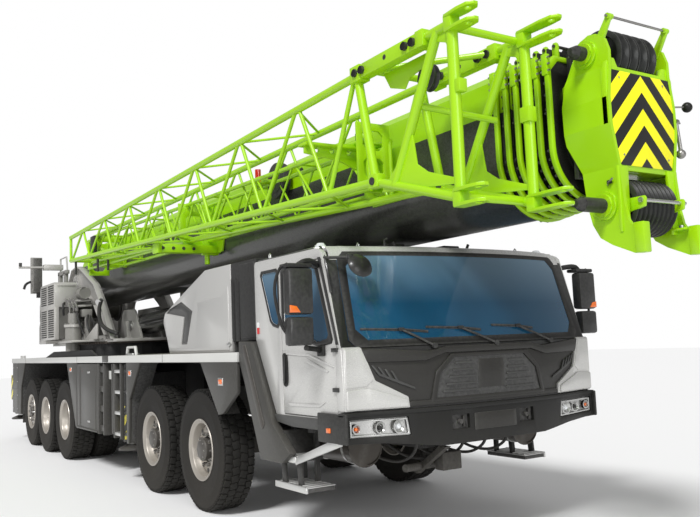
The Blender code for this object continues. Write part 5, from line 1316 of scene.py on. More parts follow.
cheek_loop = [(-5.62, 1.96), (-5.80, 1.98), (-6.54, 2.72), (-6.90, 3.03), (-7.87, 3.42), (-8.10, 3.48),
    (-8.50, 3.44), (-8.74, 3.22), (-9.10, 3.12), (-9.60, 2.97), (-9.64, 1.96)]
cheek_hole = [(-6.28, 2.06), (-6.92, 2.62), (-7.26, 2.80), (-8.05, 2.98), (-8.50, 2.72), (-8.50, 2.06)]
for _, side in SIDES:
    upper.add(UPPER_GREY, plate("XZ", beside(side, 0.575, 0.615), cheek_loop, softened(cheek_hole, 0.06),
        rounding=0.005))
    for start, end in zip(cheek_loop[1:8], cheek_loop[2:9]):
        slope = Vector((end[0] - start[0], end[1] - start[1])).normalized() * 0.022
        upper.add(UPPER_GREY, plate("XZ", beside(side, 0.572, 0.700),
            strip(start, end, (-slope.y, slope.x))[::-1], rounding=0.003))
    for start, end in zip(cheek_hole[:3], cheek_hole[1:4]):
        upper.add(UPPER_GREY, plate("XZ", beside(side, 0.60, 0.690), strip(start, end, (-0.008, 0.018)),
            rounding=0.003))
    upper.add(UPPER_GREY, cross_rod(FOOT_PIN[0], (side * 0.575, side * 0.66), FOOT_PIN[1], 0.22, 40,
        rounding=0.008))
    upper.add(BARE_STEEL, cross_rod(FOOT_PIN[0], (side * 0.60, side * 0.685), FOOT_PIN[1], 0.11, 32,
        rounding=0.006))
    keeper = loose_block((-0.012, 0.012), (-0.010, 0.010), (-0.012, 0.012), 0.003)
    there = spot(FOOT_PIN[0], side * 0.663, FOOT_PIN[1]) @ Matrix.Rotation(math.pi / 2, 4, "X")
    repeat(upper, RING, STUD_STEEL, keeper, there, Count=10, Radius=0.17)
    foot_lug = [(-6.90, 1.978), (-6.72, 2.46), (-6.62, 2.52), (-6.06, 2.50), (-5.98, 2.44), (-5.66, 1.978)]
    upper.add(UPPER_GREY, plate("XZ", beside(side, 0.160, 0.205), foot_lug, rounding=0.006),
        plate("XZ", beside(side, 0.20, 0.26), [(-6.50, 1.978), (-6.42, 2.30), (-6.34, 2.30),
        (-6.26, 1.978)], rounding=0.004))
    upper.add(BARE_STEEL, cross_rod(-6.20, (side * 0.15, side * 0.24), 2.22, 0.085, 28, rounding=0.006))
    # The rear posts and their top rail use the half-bright grey: painted shade.
    for post_x in (-9.62, -9.15):
        upper.add(PAINTED_SHADE_AND_SEAM_GREY, block((post_x, post_x + 0.10), beside(side, 0.62, 0.70), (2.90, 3.46), 0.006))
    upper.add(PAINTED_SHADE_AND_SEAM_GREY, block((-9.64, -8.95), beside(side, 0.62, 0.70), (3.42, 3.50), 0.006))
    for rib_x in (-9.45, -9.05, -8.72):
        upper.add(UPPER_GREY, block((rib_x, rib_x + 0.03), beside(side, 0.61, 0.66), (1.978, 2.95), 0.003))

box_y = (-1.33, -0.91)
cooler_top = [(-8.39, 2.62), (-8.39, 3.00), (-8.31, 3.09), (-7.24, 3.09), (-7.20, 3.05), (-7.20, 2.62)]
upper.add(UPPER_GREY, plate("XZ", box_y, cooler_top, rounding=0.012),
    plate("XZ", (-1.33, -1.295), [(-8.39, 2.02), (-8.39, 2.63), (-7.20, 2.63), (-7.20, 2.02),
    (-8.10, 2.02)], rounding=0.008), block((-8.39, -8.35), box_y, (2.02, 2.63), 0.004),
    block((-7.22, -7.19), (-1.33, -1.25), (2.02, 2.63), 0.004),
    block((-7.22, -7.185), (-1.28, -0.96), (3.02, 3.045), 0.004))
for column_x in (-8.26, -7.68):
    slit = loose_block((0.0, 0.42), (-0.006, 0.006), (0.0, 0.020), 0.003)
    for start_z, slit_count in ((2.69, 9), (2.07, 13)):
        there = spot(column_x, -1.332, start_z)
        repeat(upper, ROW, DEEP_BLACK, slit.copy(), there, Count=slit_count, Step=(0, 0, 0.041))
        cowl = loose_block((-0.01, 0.43), (-0.010, 0.004), (0.0, 0.012), 0.003)
        there = spot(column_x, -1.334, start_z + 0.020)
        repeat(upper, ROW, UPPER_GREY, cowl, there, Count=slit_count, Step=(0, 0, 0.041))
# The block inside the cooler box and the two brackets behind it use the half-bright grey: painted shade.
upper.add(PAINTED_SHADE_AND_SEAM_GREY, block((-8.30, -7.30), (-1.29, -0.95), (2.04, 2.62), 0.010),
    block((-7.55, -7.50), (-0.92, -0.60), (2.66, 2.78), 0.005),
    block((-8.20, -8.12), (-0.92, -0.60), (2.66, 2.78), 0.005))
for arm_z in (2.62, 2.72):
    upper.add(UPPER_GREY, pipe([(-7.16, -1.02, arm_z), (-7.02, -1.02, arm_z), (-7.02, -0.70, arm_z + 0.02)],
        0.022, 12))

upper.add(UPPER_GREY, block((-7.36, -6.30), (-1.24, -0.60), (1.945, 1.985), 0.008),
    plate("XZ", (-0.86, -0.83), [(-6.95, 1.985), (-6.10, 1.985), (-6.10, 2.26)], rounding=0.003))
# The swing gearbox, its pumps and the cross rod above them use the half-bright grey: painted shade under the
# boom.
upper.add(PAINTED_SHADE_AND_SEAM_GREY, post(-7.0, -1.04, (1.80, 1.95), 0.135, 36, rounding=0.006),
    post(-7.0, -1.04, (1.985, 2.24), 0.145, 40, rounding=0.010),
    post(-6.92, -0.80, (1.985, 2.20), 0.075, 30, rounding=0.008),
    post(-7.0, -1.04, (2.28, 2.48), 0.095, 32, rounding=0.010),
    post(-6.92, -0.80, (2.20, 2.42), 0.055, 24, rounding=0.008),
    block((-7.10, -6.88), (-0.90, -0.72), (2.42, 2.56), 0.012),
    rod((-7.08, -0.86, 2.86), (-6.86, -0.86, 2.86), 0.110, 32, rounding=0.012))
upper.add(UPPER_GREY, post(-7.0, -1.04, (2.24, 2.28), 0.165, 40, rounding=0.004))
nut = loose_block((-0.014, 0.014), (-0.014, 0.014), (2.28, 2.305), 0.003)
repeat(upper, RING, STUD_STEEL, nut, spot(-7.0, -1.04, 0), Count=12, Radius=0.140)
for hose_y, low_z in ((-1.10, 2.46), (-1.03, 2.48), (-0.97, 2.44)):
    upper.add(STUD_STEEL, pipe([(-6.98, hose_y, low_z), (-6.93, hose_y - 0.02, 2.60),
        (-6.99, hose_y - 0.05, 2.72), (-7.12, hose_y - 0.04, 2.76)], 0.020, 10, curved=True))
    upper.add(BARE_STEEL, rod((-6.98, hose_y, low_z), (-6.97, hose_y, low_z + 0.05), 0.030, 12))
for start, middle, end in (((-7.05, -0.80, 2.56), (-6.80, -0.72, 2.30), (-6.85, -0.68, 2.05)),
        ((-6.95, -0.78, 2.50), (-6.70, -0.86, 2.26), (-6.60, -0.80, 2.02)),
        ((-7.10, -0.92, 2.60), (-6.86, -1.00, 2.44), (-6.80, -0.90, 2.10)),
        ((-7.20, -1.15, 2.70), (-7.00, -1.22, 2.62), (-7.05, -1.20, 2.45))):
    upper.add(RUBBER_HOSE, pipe([start, middle, end], 0.022, 10, curved=True))
upper.add(RUBBER_HOSE, pipe([(-6.52, -0.66, 2.69), (-6.36, -0.74, 2.52), (-6.12, -0.78, 2.28),
    (-5.84, -0.74, 2.14), (-5.68, -0.62, 2.06)], 0.035, 14, curved=True))
upper.add(BARE_STEEL, rod((-6.56, -0.64, 2.69), (-6.50, -0.72, 2.66), 0.055, 20, rounding=0.005),
    rod((-6.46, -0.64, 2.54), (-6.42, -0.72, 2.51), 0.035, 16))
# The panels at the rear use the half-bright grey: painted shade.
upper.add(PAINTED_SHADE_AND_SEAM_GREY, block((-9.70, -9.64), (-1.25, -1.02), (3.05, 3.82), 0.006),
    block((-9.64, -9.56), (-1.22, -1.05), (3.08, 3.80), 0.006))
fin = loose_block((0.0, 0.012), (-0.004, 0.004), (3.08, 3.80), 0.001)
repeat(upper, ROW, DEEP_BLACK, fin, spot(-9.562, -1.21, 0), Count=8, Step=(0, 0.023, 0))
upper.add(UPPER_GREY, rod((-9.60, -1.50, 3.60), (-9.50, -0.62, 3.60), 0.024, 16, rounding=0.004),
    block((-9.62, -9.48), (-1.02, -0.62), (3.54, 3.66), 0.010),
    block((-9.60, -9.54), (-1.02, -0.62), (3.12, 3.20), 0.008),
    *(pipe([(-9.55, rail_y, 3.46), (-9.55, rail_y, 3.78), (-9.05, rail_y, 3.78), (-8.97, rail_y, 3.46)],
    0.018, 12) for rail_y in (-0.66, 0.66)))
upper.add(DEEP_BLACK, post(-9.60, -1.47, (3.62, 3.69), 0.032, 20, rounding=0.005),
    pipe([(-9.62, -1.26, 3.30), (-9.60, -1.36, 3.24), (-9.60, -1.40, 3.14)], 0.026, 12, curved=True),
    block((-9.66, -9.60), (-1.14, -0.98), (2.96, 3.06), 0.008))
upper.add(UPPER_GREY, block((-6.0, -5.64), (0.60, 0.655), (1.98, 2.20), 0.006),
    block((-8.60, -6.60), (0.70, 1.20), (1.985, 2.62), 0.020),
    block((-8.60, -6.60), (0.60, 1.24), (1.945, 1.985), 0.006))
# The seams on the box side are dark joints, drawn in the same half-bright grey.
for seam_x in (-7.95, -7.30):
    upper.add(PAINTED_SHADE_AND_SEAM_GREY, block((seam_x, seam_x + 0.008), (1.198, 1.203), (2.02, 2.60), 0.0))
upper.add(BARE_STEEL, *(block((latch_x, latch_x + 0.06), (1.20, 1.212), (2.30, 2.34),
    0.004) for latch_x in (-8.06, -7.42, -6.76)))
upper.ride("turntable", "body_white", "turntable")


# ------------------------------------------------------------------------------ counterweight
# Two cast slabs bolted to the tail of the base plate, with lifting lugs and guide pins.
weight = Piece("counterweight_slabs")
for low, high, grow in ((1.982, 2.44, 0.0), (2.455, 2.90, -0.012)):
    weight.add(UPPER_GREY, plate("XZ", (-0.95 - grow, 0.95 + grow),
        [(-10.30, low), (-10.30, high - 0.09), (-10.22, high), (-9.67, high), (-9.67, low)],
        rounding=0.014))
for _, side in SIDES:
    # The pads on top of the slabs use the half-bright grey, the painted-shade copy of the upper grey.
    weight.add(PAINTED_SHADE_AND_SEAM_GREY, post(-9.98, side * 0.62, (2.90, 2.935), 0.055, 24, rounding=0.005))
    weight.add(CAST_IRON, plate("XZ", beside(side, 0.955, 0.98), circle((-9.98, 2.60), 0.09, 28),
        circle((-9.98, 2.60), 0.045, 20), rounding=0.004))
    weight.add(BARE_STEEL, rod((-10.305, side * 0.45, 2.20), (-10.29, side * 0.45, 2.20), 0.022, 14),
        rod((-10.305, side * 0.45, 2.66), (-10.29, side * 0.45, 2.66), 0.022, 14))
weight.ride("turntable", "body_white", "counterweight")


# ------------------------------------------------------------------------------ hoist winch
# A grooved drum wound with steel rope between two dark flanges; the rope lies in close turns.
ROPE = finish("wire_rope", (0.115, 0.110, 0.100), 0.45, metallic=0.6, grain=600.0, depth=0.0012, dust=0.10,
    dust_height=4.0)
WINCH_MIDDLE = (-9.25, 2.75)
winch = Piece("winch_drum_and_rope")
across = spot(WINCH_MIDDLE[0], 0, WINCH_MIDDLE[1]) @ Matrix.Rotation(math.pi / 2, 4, "X")
for _, side in SIDES:
    flange = [(0.07, side * 0.435), (0.32, side * 0.435), (0.33, side * 0.445), (0.33, side * 0.465),
        (0.32, side * 0.475), (0.14, side * 0.475), (0.13, side * 0.54), (0.07, side * 0.54)]
    winch.add(PANEL_GREY, lathe(flange, across, 56, closed=True))
turns, rope_r = 30, 0.0145
wound = [(0.06, -0.435)]
for turn in range(turns):
    centre = -0.435 + rope_r + turn * 2 * rope_r
    wound += [(0.250 + rope_r * math.sin(math.pi * i / 4),
        centre - rope_r * math.cos(math.pi * i / 4)) for i in range(5)]
wound.append((0.06, 0.435))
winch.add(ROPE, lathe(wound, across, 48, closed=True))
winch.ride("winch_drum", "dark_panel", "winch_drum")


# ------------------------------------------------------------------------------ operator's cab
# The crane driver's narrow cab on the left: a glazed steel box with a sloping front, a seat, a lever console
# and a hinged door with a large pane.
def pane(low_x, high_x, low_z, high_z):
    """A four-cornered outline, named by its edges."""
    return [(low_x, low_z), (low_x, high_z), (high_x, high_z), (high_x, low_z)]


op_cab = Piece("operator_cab_shell")
OP_LOOP = [(-6.00, 1.80), (-6.00, 3.24), (-5.96, 3.28), (-4.78, 3.28), (-4.72, 3.22), (-4.40, 2.70),
    (-4.40, 2.05), (-4.62, 1.80)]
OP_PANE = pane(-5.80, -4.95, 2.45, 3.10)
OP_DOORWAY = pane(-5.80, -5.02, 1.88, 3.16)
op_cab.add(UPPER_GREY, plate("XZ", (0.66, 0.69), OP_LOOP, softened(OP_PANE, 0.05), rounding=0.006),
    plate("XZ", (1.42, 1.45), OP_LOOP, OP_DOORWAY, rounding=0.006))
for start, end in zip(OP_LOOP, OP_LOOP[1:] + OP_LOOP[:1]):
    if start not in ((-4.72, 3.22), (-4.40, 2.70)):
        slope = Vector((end[0] - start[0], end[1] - start[1])).normalized() * 0.03
        op_cab.add(UPPER_GREY, plate("XZ", (0.67, 1.44), strip(start, end, (slope.y, -slope.x)),
            rounding=0.0))
for pillar_y in (0.69, 1.42):
    op_cab.add(PILLAR_DARK, rod((-4.74, pillar_y, 3.22), (-4.42, pillar_y, 2.70), 0.028, 12),
        rod((-4.42, pillar_y, 2.70), (-4.42, pillar_y, 2.06), 0.028, 12))
op_cab.add(PILLAR_DARK, plate("XZ", (1.445, 1.456), softened(pane(-5.84, -4.98, 1.86, 3.19), 0.05),
    OP_DOORWAY, rounding=0.003))
op_cab.add(SEAT_CLOTH, block((-5.70, -5.25), (0.85, 1.27), (2.16, 2.30), 0.04),
    block((-5.78, -5.66), (0.85, 1.27), (2.24, 2.92), 0.04))
op_cab.add(TRIM_DARK, block((-5.66, -5.30), (0.90, 1.22), (1.84, 2.16), 0.02),
    block((-4.86, -4.62), (0.80, 1.30), (1.84, 2.36), 0.03),
    block((-5.55, -5.30), (0.74, 0.84), (2.30, 2.42), 0.02), post(-5.35, 0.79, (2.42, 2.58), 0.018, 12),
    post(-5.35, 1.33, (2.42, 2.58), 0.018, 12), block((-5.55, -5.30), (1.28, 1.38), (2.30, 2.42), 0.02))
op_cab.ride("turntable", "body_white", "operator_cab")

op_glass = Piece("operator_cab_panes")
op_glass.add(BLUE_GLASS, plate("XZ", (0.668, 0.674), pane(-5.83, -4.92, 2.42, 3.13), rounding=0.0),
    plate("XZ", (0.70, 1.41), [(-4.725, 3.20), (-4.425, 2.705), (-4.432, 2.70), (-4.732, 3.195)],
    rounding=0.0), block((-4.428, -4.420), (0.70, 1.41), (2.07, 2.69), 0.0))
op_glass.ride("turntable", "window_glass")

op_door = Piece("operator_cab_door_leaf")
leaf_loop = softened(pane(-5.86, -4.96, 1.86, 3.18), 0.04)
pane_loop = softened(pane(-5.78, -5.04, 2.35, 3.10), 0.05)
op_door.add(UPPER_GREY, plate("XZ", (1.457, 1.480), leaf_loop, pane_loop, rounding=0.005),
    plate("XZ", (1.478, 1.486), softened(pane(-5.78, -5.04, 1.94, 2.26), 0.05), rounding=0.003))
op_door.add(BLUE_GLASS, plate("XZ", (1.462, 1.470), softened(pane(-5.80, -5.02, 2.33, 3.12), 0.04),
    rounding=0.0))
op_door.add(DEEP_BLACK, plate("XZ", (1.478, 1.486), pane_loop,
    softened(pane(-5.75, -5.07, 2.38, 3.07), 0.05), rounding=0.002),
    block((-5.10, -5.02), (1.478, 1.500), (2.18, 2.24), 0.008))
op_door.add(BARE_STEEL, pipe([(-5.72, 1.48, 2.05), (-5.72, 1.50, 2.06), (-5.72, 1.50, 2.22),
    (-5.72, 1.48, 2.23)], 0.010, 8))
op_door.ride("operator_cab_door", "body_white", "operator_cab_door")


# ------------------------------------------------------------------------------ luffing cylinder
# One large dark hydraulic cylinder under the boom, with a polished rod; an eye at each end sits on its pin.
CYLINDER_FOOT, CYLINDER_EYE = Vector((-6.20, 2.22)), Vector((-2.20, 2.38))
ALONG = (CYLINDER_EYE - CYLINDER_FOOT).normalized()


def on_cylinder(distance, y=0.0):
    """A place on the cylinder's axis, measured from its foot pin."""
    place = CYLINDER_FOOT + ALONG * distance
    return (place.x, y, place.y)


CYLINDER_BLACK = finish("cylinder_black", (0.012, 0.012, 0.011), 0.26, coat=0.3, dust=0.06)
barrel = Piece("luff_cylinder_barrel")
barrel.add(CYLINDER_BLACK, rod(on_cylinder(0.25), on_cylinder(3.36), 0.182, 48, rounding=0.010),
    rod(on_cylinder(3.30), on_cylinder(3.45), 0.190, 48, rounding=0.006),
    rod(on_cylinder(0.22), on_cylinder(0.34), 0.190, 48, rounding=0.006),
    rod(on_cylinder(0.02), on_cylinder(0.30), 0.12, 32),
    cross_rod(-6.20, (-0.145, 0.145), 2.22, 0.158, 40, rounding=0.006))
lip_nut = loose_block((-0.012, 0.012), (-0.012, 0.012), (-0.01, 0.012), 0.003)
end_face = spot(*on_cylinder(3.455)) @ Matrix.Rotation(math.pi / 2 - math.atan2(ALONG.y, ALONG.x), 4, "Y")
repeat(barrel, RING, STUD_STEEL, lip_nut, end_face, Count=14, Radius=0.165)
barrel.add(RUBBER_HOSE, pipe([on_cylinder(0.5, -0.20), on_cylinder(1.4, -0.215), on_cylinder(2.6, -0.205),
    on_cylinder(3.2, -0.19)], 0.020, 10, curved=True))
barrel.ride("luff_barrel", "boom_dark", "luff_barrel")

CHROME = finish("chromed_rod", (0.72, 0.72, 0.72), 0.10, metallic=1.0, grain=900.0, depth=0.00005,
    dust=0.02, wear=0.0)
plunger = Piece("luff_cylinder_rod")
plunger.add(CHROME, rod(on_cylinder(0.60), on_cylinder(3.92), 0.128, 40))
plunger.add(PANEL_GREY, cross_rod(-2.20, (-0.145, 0.145), 2.38, 0.148, 40, rounding=0.006),
    rod(on_cylinder(3.80), on_cylinder(3.90), 0.138, 36, rounding=0.006))
plunger.ride("luff_rod", "steel", "luff_rod")


# ------------------------------------------------------------------------------ boom
# Seven nested sections of thin high-strength plate: flat sides and top, round underside. The upper half is
# lime green, the lower half almost black. Each section ends in a green U-shaped collar with bolts and pads.
LIME = finish("lime_paint", (0.34, 0.64, 0.002), 0.34, coat=0.22, depth=0.0003, dust=0.03, wear=0.0,
    patchy=0.06)
BOOM_BLACK = finish("boom_black", (0.010, 0.0105, 0.0085), 0.28, coat=0.30, depth=0.0003, dust=0.04)
PIN_BLACK = finish("pin_black", (0.010, 0.010, 0.009), 0.38, metallic=0.2, dust=0.05)
WEAR_PAD = finish("wear_pad", (0.013, 0.013, 0.012), 0.5, dust=0.03)
BOOM_HALF, BOOM_TOP, BOOM_LOW, WAIST, COLOUR_SPLIT = 0.47, 3.84, 2.68, 3.12, 3.50
SECTION_STEP, WALL, FIRST_COLLAR_X, COLLAR_STEP = 0.038, 0.016, 3.89, 0.10


def u_path(shrink, split=COLOUR_SPLIT, steps=24):
    """The dark lower part of a section's outline, from its left side round the belly to its right side."""
    half, depth = BOOM_HALF - shrink, WAIST - (BOOM_LOW + shrink)
    belly = [(half * math.cos(math.pi * i / steps),
        WAIST - depth * math.sin(math.pi * i / steps)) for i in range(steps + 1)]
    return [(half, split)] + belly + [(-half, split)]


def cap_path(shrink, split=COLOUR_SPLIT):
    """The green upper part, from the right side over the chamfered top to the left side."""
    half, top = BOOM_HALF - shrink, BOOM_TOP - shrink
    return [(-half, split), (-half, top - 0.08), (-half + 0.08, top), (half - 0.08, top),
        (half, top - 0.08), (half, split)]


def full_loop(shrink):
    """The whole outline of a section."""
    return u_path(shrink) + cap_path(shrink)[1:-1]


def section_skin(piece, number, rear_x, front_x):
    """One section's plating: the dark lower and the green upper shell."""
    shrink = SECTION_STEP * (number - 1)
    for path, paint in ((u_path, BOOM_BLACK), (cap_path, LIME)):
        piece.add(paint, plate("YZ", (rear_x, front_x), path(shrink) + path(shrink + WALL)[::-1],
            rounding=0.0))


def collar_x(number):
    """Where a section's collar ends at the front."""
    return FIRST_COLLAR_X + COLLAR_STEP * (number - 1)


def collar_shapes(piece, number):
    """The U-shaped rim: a proud flange, a stepped band behind it, bolt heads down both sides, top lugs."""
    front_x, hollow = collar_x(number), SECTION_STEP * (number - 1) + WALL
    swell = 0.034 - 0.012 * (number - 1)
    piece.add(LIME, plate("YZ", (front_x - 0.036, front_x), full_loop(-swell), full_loop(0.040 - swell),
        rounding=0.006))
    # The stepped band behind the flange is boom black all round: below the colour split that is the boom's
    # own black, round the green top it is painted shade for the recess behind the flange.
    piece.add(BOOM_BLACK, plate("YZ", (front_x - 0.062, front_x - 0.012), full_loop(0.024 - swell),
        full_loop(hollow), rounding=0.003))
    rim = u_path(0.022 - swell, split=3.62, steps=20)
    for (y, z), (next_y, next_z) in zip(rim[:-1], rim[1:]):
        middle = Vector(((y + next_y) / 2, (z + next_z) / 2))
        outward = Vector((z - next_z, next_y - y)).normalized()
        if outward.dot(middle - Vector((0.0, 3.2))) < 0:
            outward = -outward
        base, tip = middle - outward * 0.004, middle + outward * 0.022
        piece.add(PIN_BLACK, rod((front_x - 0.048, base.x, base.y), (front_x - 0.048, tip.x, tip.y), 0.014,
            8, 0.010))
    half = BOOM_HALF + swell
    for _, side in SIDES:
        for bolt_z in (3.40, 3.51, 3.60):
            piece.add(PIN_BLACK, rod((front_x - 0.044, side * (half - 0.03), bolt_z),
                (front_x - 0.044, side * (half - 0.006), bolt_z), 0.012, 8))
        piece.add(LIME, block((front_x - 0.050, front_x + 0.004), beside(side, half - 0.03, half + 0.010),
            (3.655, 3.815), 0.006))
        for stud_z in (3.685, 3.735, 3.785):
            piece.add(STUD_STEEL, rod((front_x - 0.066, side * (half - 0.002), stud_z),
                (front_x + 0.020, side * (half - 0.002), stud_z), 0.0085, 8))
        ear = [(front_x - 0.055, BOOM_TOP + swell - 0.02), (front_x - 0.055, 3.905),
            (front_x - 0.040, 3.925), (front_x - 0.012, 3.925), (front_x, 3.905),
            (front_x, BOOM_TOP + swell - 0.02)]
        for ear_y in (0.10, 0.30):
            piece.add(LIME, plate("XZ", beside(side, ear_y, ear_y + 0.022), ear, rounding=0.003))
        piece.add(PIN_BLACK, cross_rod(front_x - 0.028, (side * 0.08, side * 0.335), 3.898, 0.012, 12),
            block((front_x - 0.075, front_x - 0.062), beside(side, 0.02, 0.36), (BOOM_TOP - 0.03, 3.885),
            0.003))


def trimmed(mesh, place, outward):
    """A mesh with everything beyond a plane cut away."""
    bm = bmesh.new()
    bm.from_mesh(mesh)
    bpy.data.meshes.remove(mesh)
    bmesh.ops.bisect_plane(bm, geom=bm.verts[:] + bm.edges[:] + bm.faces[:], dist=0.0001,
        plane_co=(at(place[0]), 0, place[1]), plane_no=(outward[0], 0, outward[1]), clear_outer=True)
    return shape_mesh(bm)


base_piece = Piece("boom_base_section")
for path, paint in ((u_path, BOOM_BLACK), (cap_path, LIME)):
    skin = plate("YZ", (-8.60, 3.87), path(0.0) + path(WALL)[::-1], rounding=0.0)
    skin = trimmed(skin, (-8.05, 3.84), (-0.42, 0.57))
    base_piece.add(paint, trimmed(skin, (-8.35, 2.60), (-0.25, -0.27)))
base_piece.add(LIME, plate("XZ", (-0.455, 0.455),
    [(-8.05, 3.838), (-8.60, 3.432), (-8.60, 3.41), (-8.05, 3.815)], rounding=0.0),
    plate("YZ", (-8.60, -8.575), [(-0.455, 2.92), (0.455, 2.92), (0.455, 3.43), (-0.455, 3.43)],
    rounding=0.0))
collar_shapes(base_piece, 1)
for _, side in SIDES:
    base_piece.add(LIME, cross_rod(FOOT_PIN[0], (side * 0.455, side * 0.540), FOOT_PIN[1], 0.215, 40,
        rounding=0.006))
    lug = [(-2.75, 2.74), (-2.38, 2.22), (-2.28, 2.19), (-2.10, 2.19), (-2.00, 2.26), (-1.96, 2.36),
        (-1.70, 2.74)]
    base_piece.add(BOOM_BLACK, plate("XZ", beside(side, 0.157, 0.205), lug, circle((-2.20, 2.38), 0.06, 20),
        rounding=0.006))
    base_piece.add(PIN_BLACK, cross_rod(-2.20, (side * 0.150, side * 0.225), 2.38, 0.075, 28,
        rounding=0.006))
    gusset = [(-4.6, 2.80), (-3.0, 2.66), (-2.6, 2.66), (-2.6, 2.80)]
    base_piece.add(BOOM_BLACK, plate("XZ", beside(side, 0.19, 0.22), gusset, rounding=0.004))
    for patch_x in (-6.9, -3.9, -0.6, 1.9):
        base_piece.add(LIME, plate("XZ", beside(side, 0.468, 0.476),
            [(patch_x, 3.62), (patch_x + 0.16, 3.62), (patch_x + 0.14, 3.74), (patch_x + 0.02, 3.74)],
            rounding=0.003))
    for mark_x in (0.72, -1.9):
        base_piece.add(PIN_BLACK, cross_rod(mark_x, (side * 0.468, side * 0.474), 3.66, 0.045, 24))
base_piece.add(BOOM_BLACK, plate("XZ", (-0.30, 0.30),
    [(-0.2, 2.70), (-0.1, 2.64), (0.9, 2.64), (1.0, 2.70)], rounding=0.006))
base_piece.ride("boom_base", "boom_green", "boom_base")

for number in range(2, 7):
    section = Piece("boom_section_skin_%d" % number)
    shrink, rear_x = SECTION_STEP * (number - 1), -7.90 + 0.08 * (number - 2)
    section_skin(section, number, rear_x, collar_x(number) - 0.01)
    collar_shapes(section, number)
    section.add(WEAR_PAD, plate("YZ", (rear_x, rear_x + 0.22), full_loop(shrink - 0.016),
        full_loop(shrink + WALL), rounding=0.003))
    section.ride("boom_section_%d" % number, "boom_green", "boom_section_%d" % number)


# ------------------------------------------------------------------------------ boom head
# Two folded cheek plates with round bosses and long dark jib pins, a striped warning plate between them, the
# framed lower sheave window, two arms with a rope guard, a rope retaining bar and a wind sensor.
HEAD_LOOP = [(4.86, 3.71), (4.83, 3.80), (4.76, 3.855), (4.69, 3.865), (4.62, 3.84), (4.53, 3.70),
    (4.455, 3.56), (4.44, 3.40), (4.445, 3.10), (4.54, 2.88), (4.565, 2.64), (4.60, 2.50), (4.66, 2.40),
    (4.76, 2.34), (4.94, 2.264), (5.03, 2.264), (5.03, 2.456), (4.93, 2.462), (4.905, 2.50), (4.885, 2.60),
    (4.862, 2.886), (4.858, 3.576)]
CHEEK_BENDS = ((2.20, 0.315), (2.88, 0.315), (3.18, 0.372), (3.37, 0.372), (3.60, 0.338), (3.99, 0.330))


def cheek_y(z):
    """How far out the folded cheek plate stands at a height."""
    for (low, low_y), (high, high_y) in zip(CHEEK_BENDS, CHEEK_BENDS[1:]):
        if z <= high:
            return low_y + (high_y - low_y) * (z - low) / (high - low)
    return CHEEK_BENDS[-1][1]


def folded_cheek(side):
    """The cheek plate, creased along level lines so that it widens in the middle."""
    bm = bmesh.new()
    flat_cheek = plate("XZ", (-0.014, 0.014), HEAD_LOOP, rounding=0.0)
    bm.from_mesh(flat_cheek)
    bpy.data.meshes.remove(flat_cheek)
    for level, _ in CHEEK_BENDS[1:-1]:
        bmesh.ops.bisect_plane(bm, geom=bm.verts[:] + bm.edges[:] + bm.faces[:], dist=0.0001,
            plane_co=(0, 0, level), plane_no=(0, 0, 1))
    for corner in bm.verts:
        corner.co.y += side * (cheek_y(corner.co.z) - 0.014)
    levels = [level for level, _ in CHEEK_BENDS[1:-1]]
    creases = [edge for edge in bm.edges if any(all(abs(end.co.z - level) < 0.0005 for end in edge.verts)
        for level in levels)]
    bmesh.ops.split_edges(bm, edges=creases)
    return shape_mesh(bm)


def chevrons(nodes, links, worked, height, shader):
    """Yellow and dark bands that meet in upward points on the middle line."""
    where, parts = nodes.new("ShaderNodeTexCoord"), nodes.new("ShaderNodeSeparateXYZ")
    links.new(where.outputs["Object"], parts.inputs[0])
    step = shader_math(nodes, links)
    climb = step("ADD", parts.outputs["Z"], step("MULTIPLY", step("ABSOLUTE", parts.outputs["Y"]), 1.05))
    phase = step("FRACT", step("MULTIPLY", step("SUBTRACT", climb, 3.20), 4.13))
    dark = step("GREATER_THAN", phase, 0.5)
    links.new(mixed(nodes, links, dark, worked.outputs["Colour"], (0.006, 0.006, 0.005, 1)),
        shader.inputs["Base Color"])
    return height


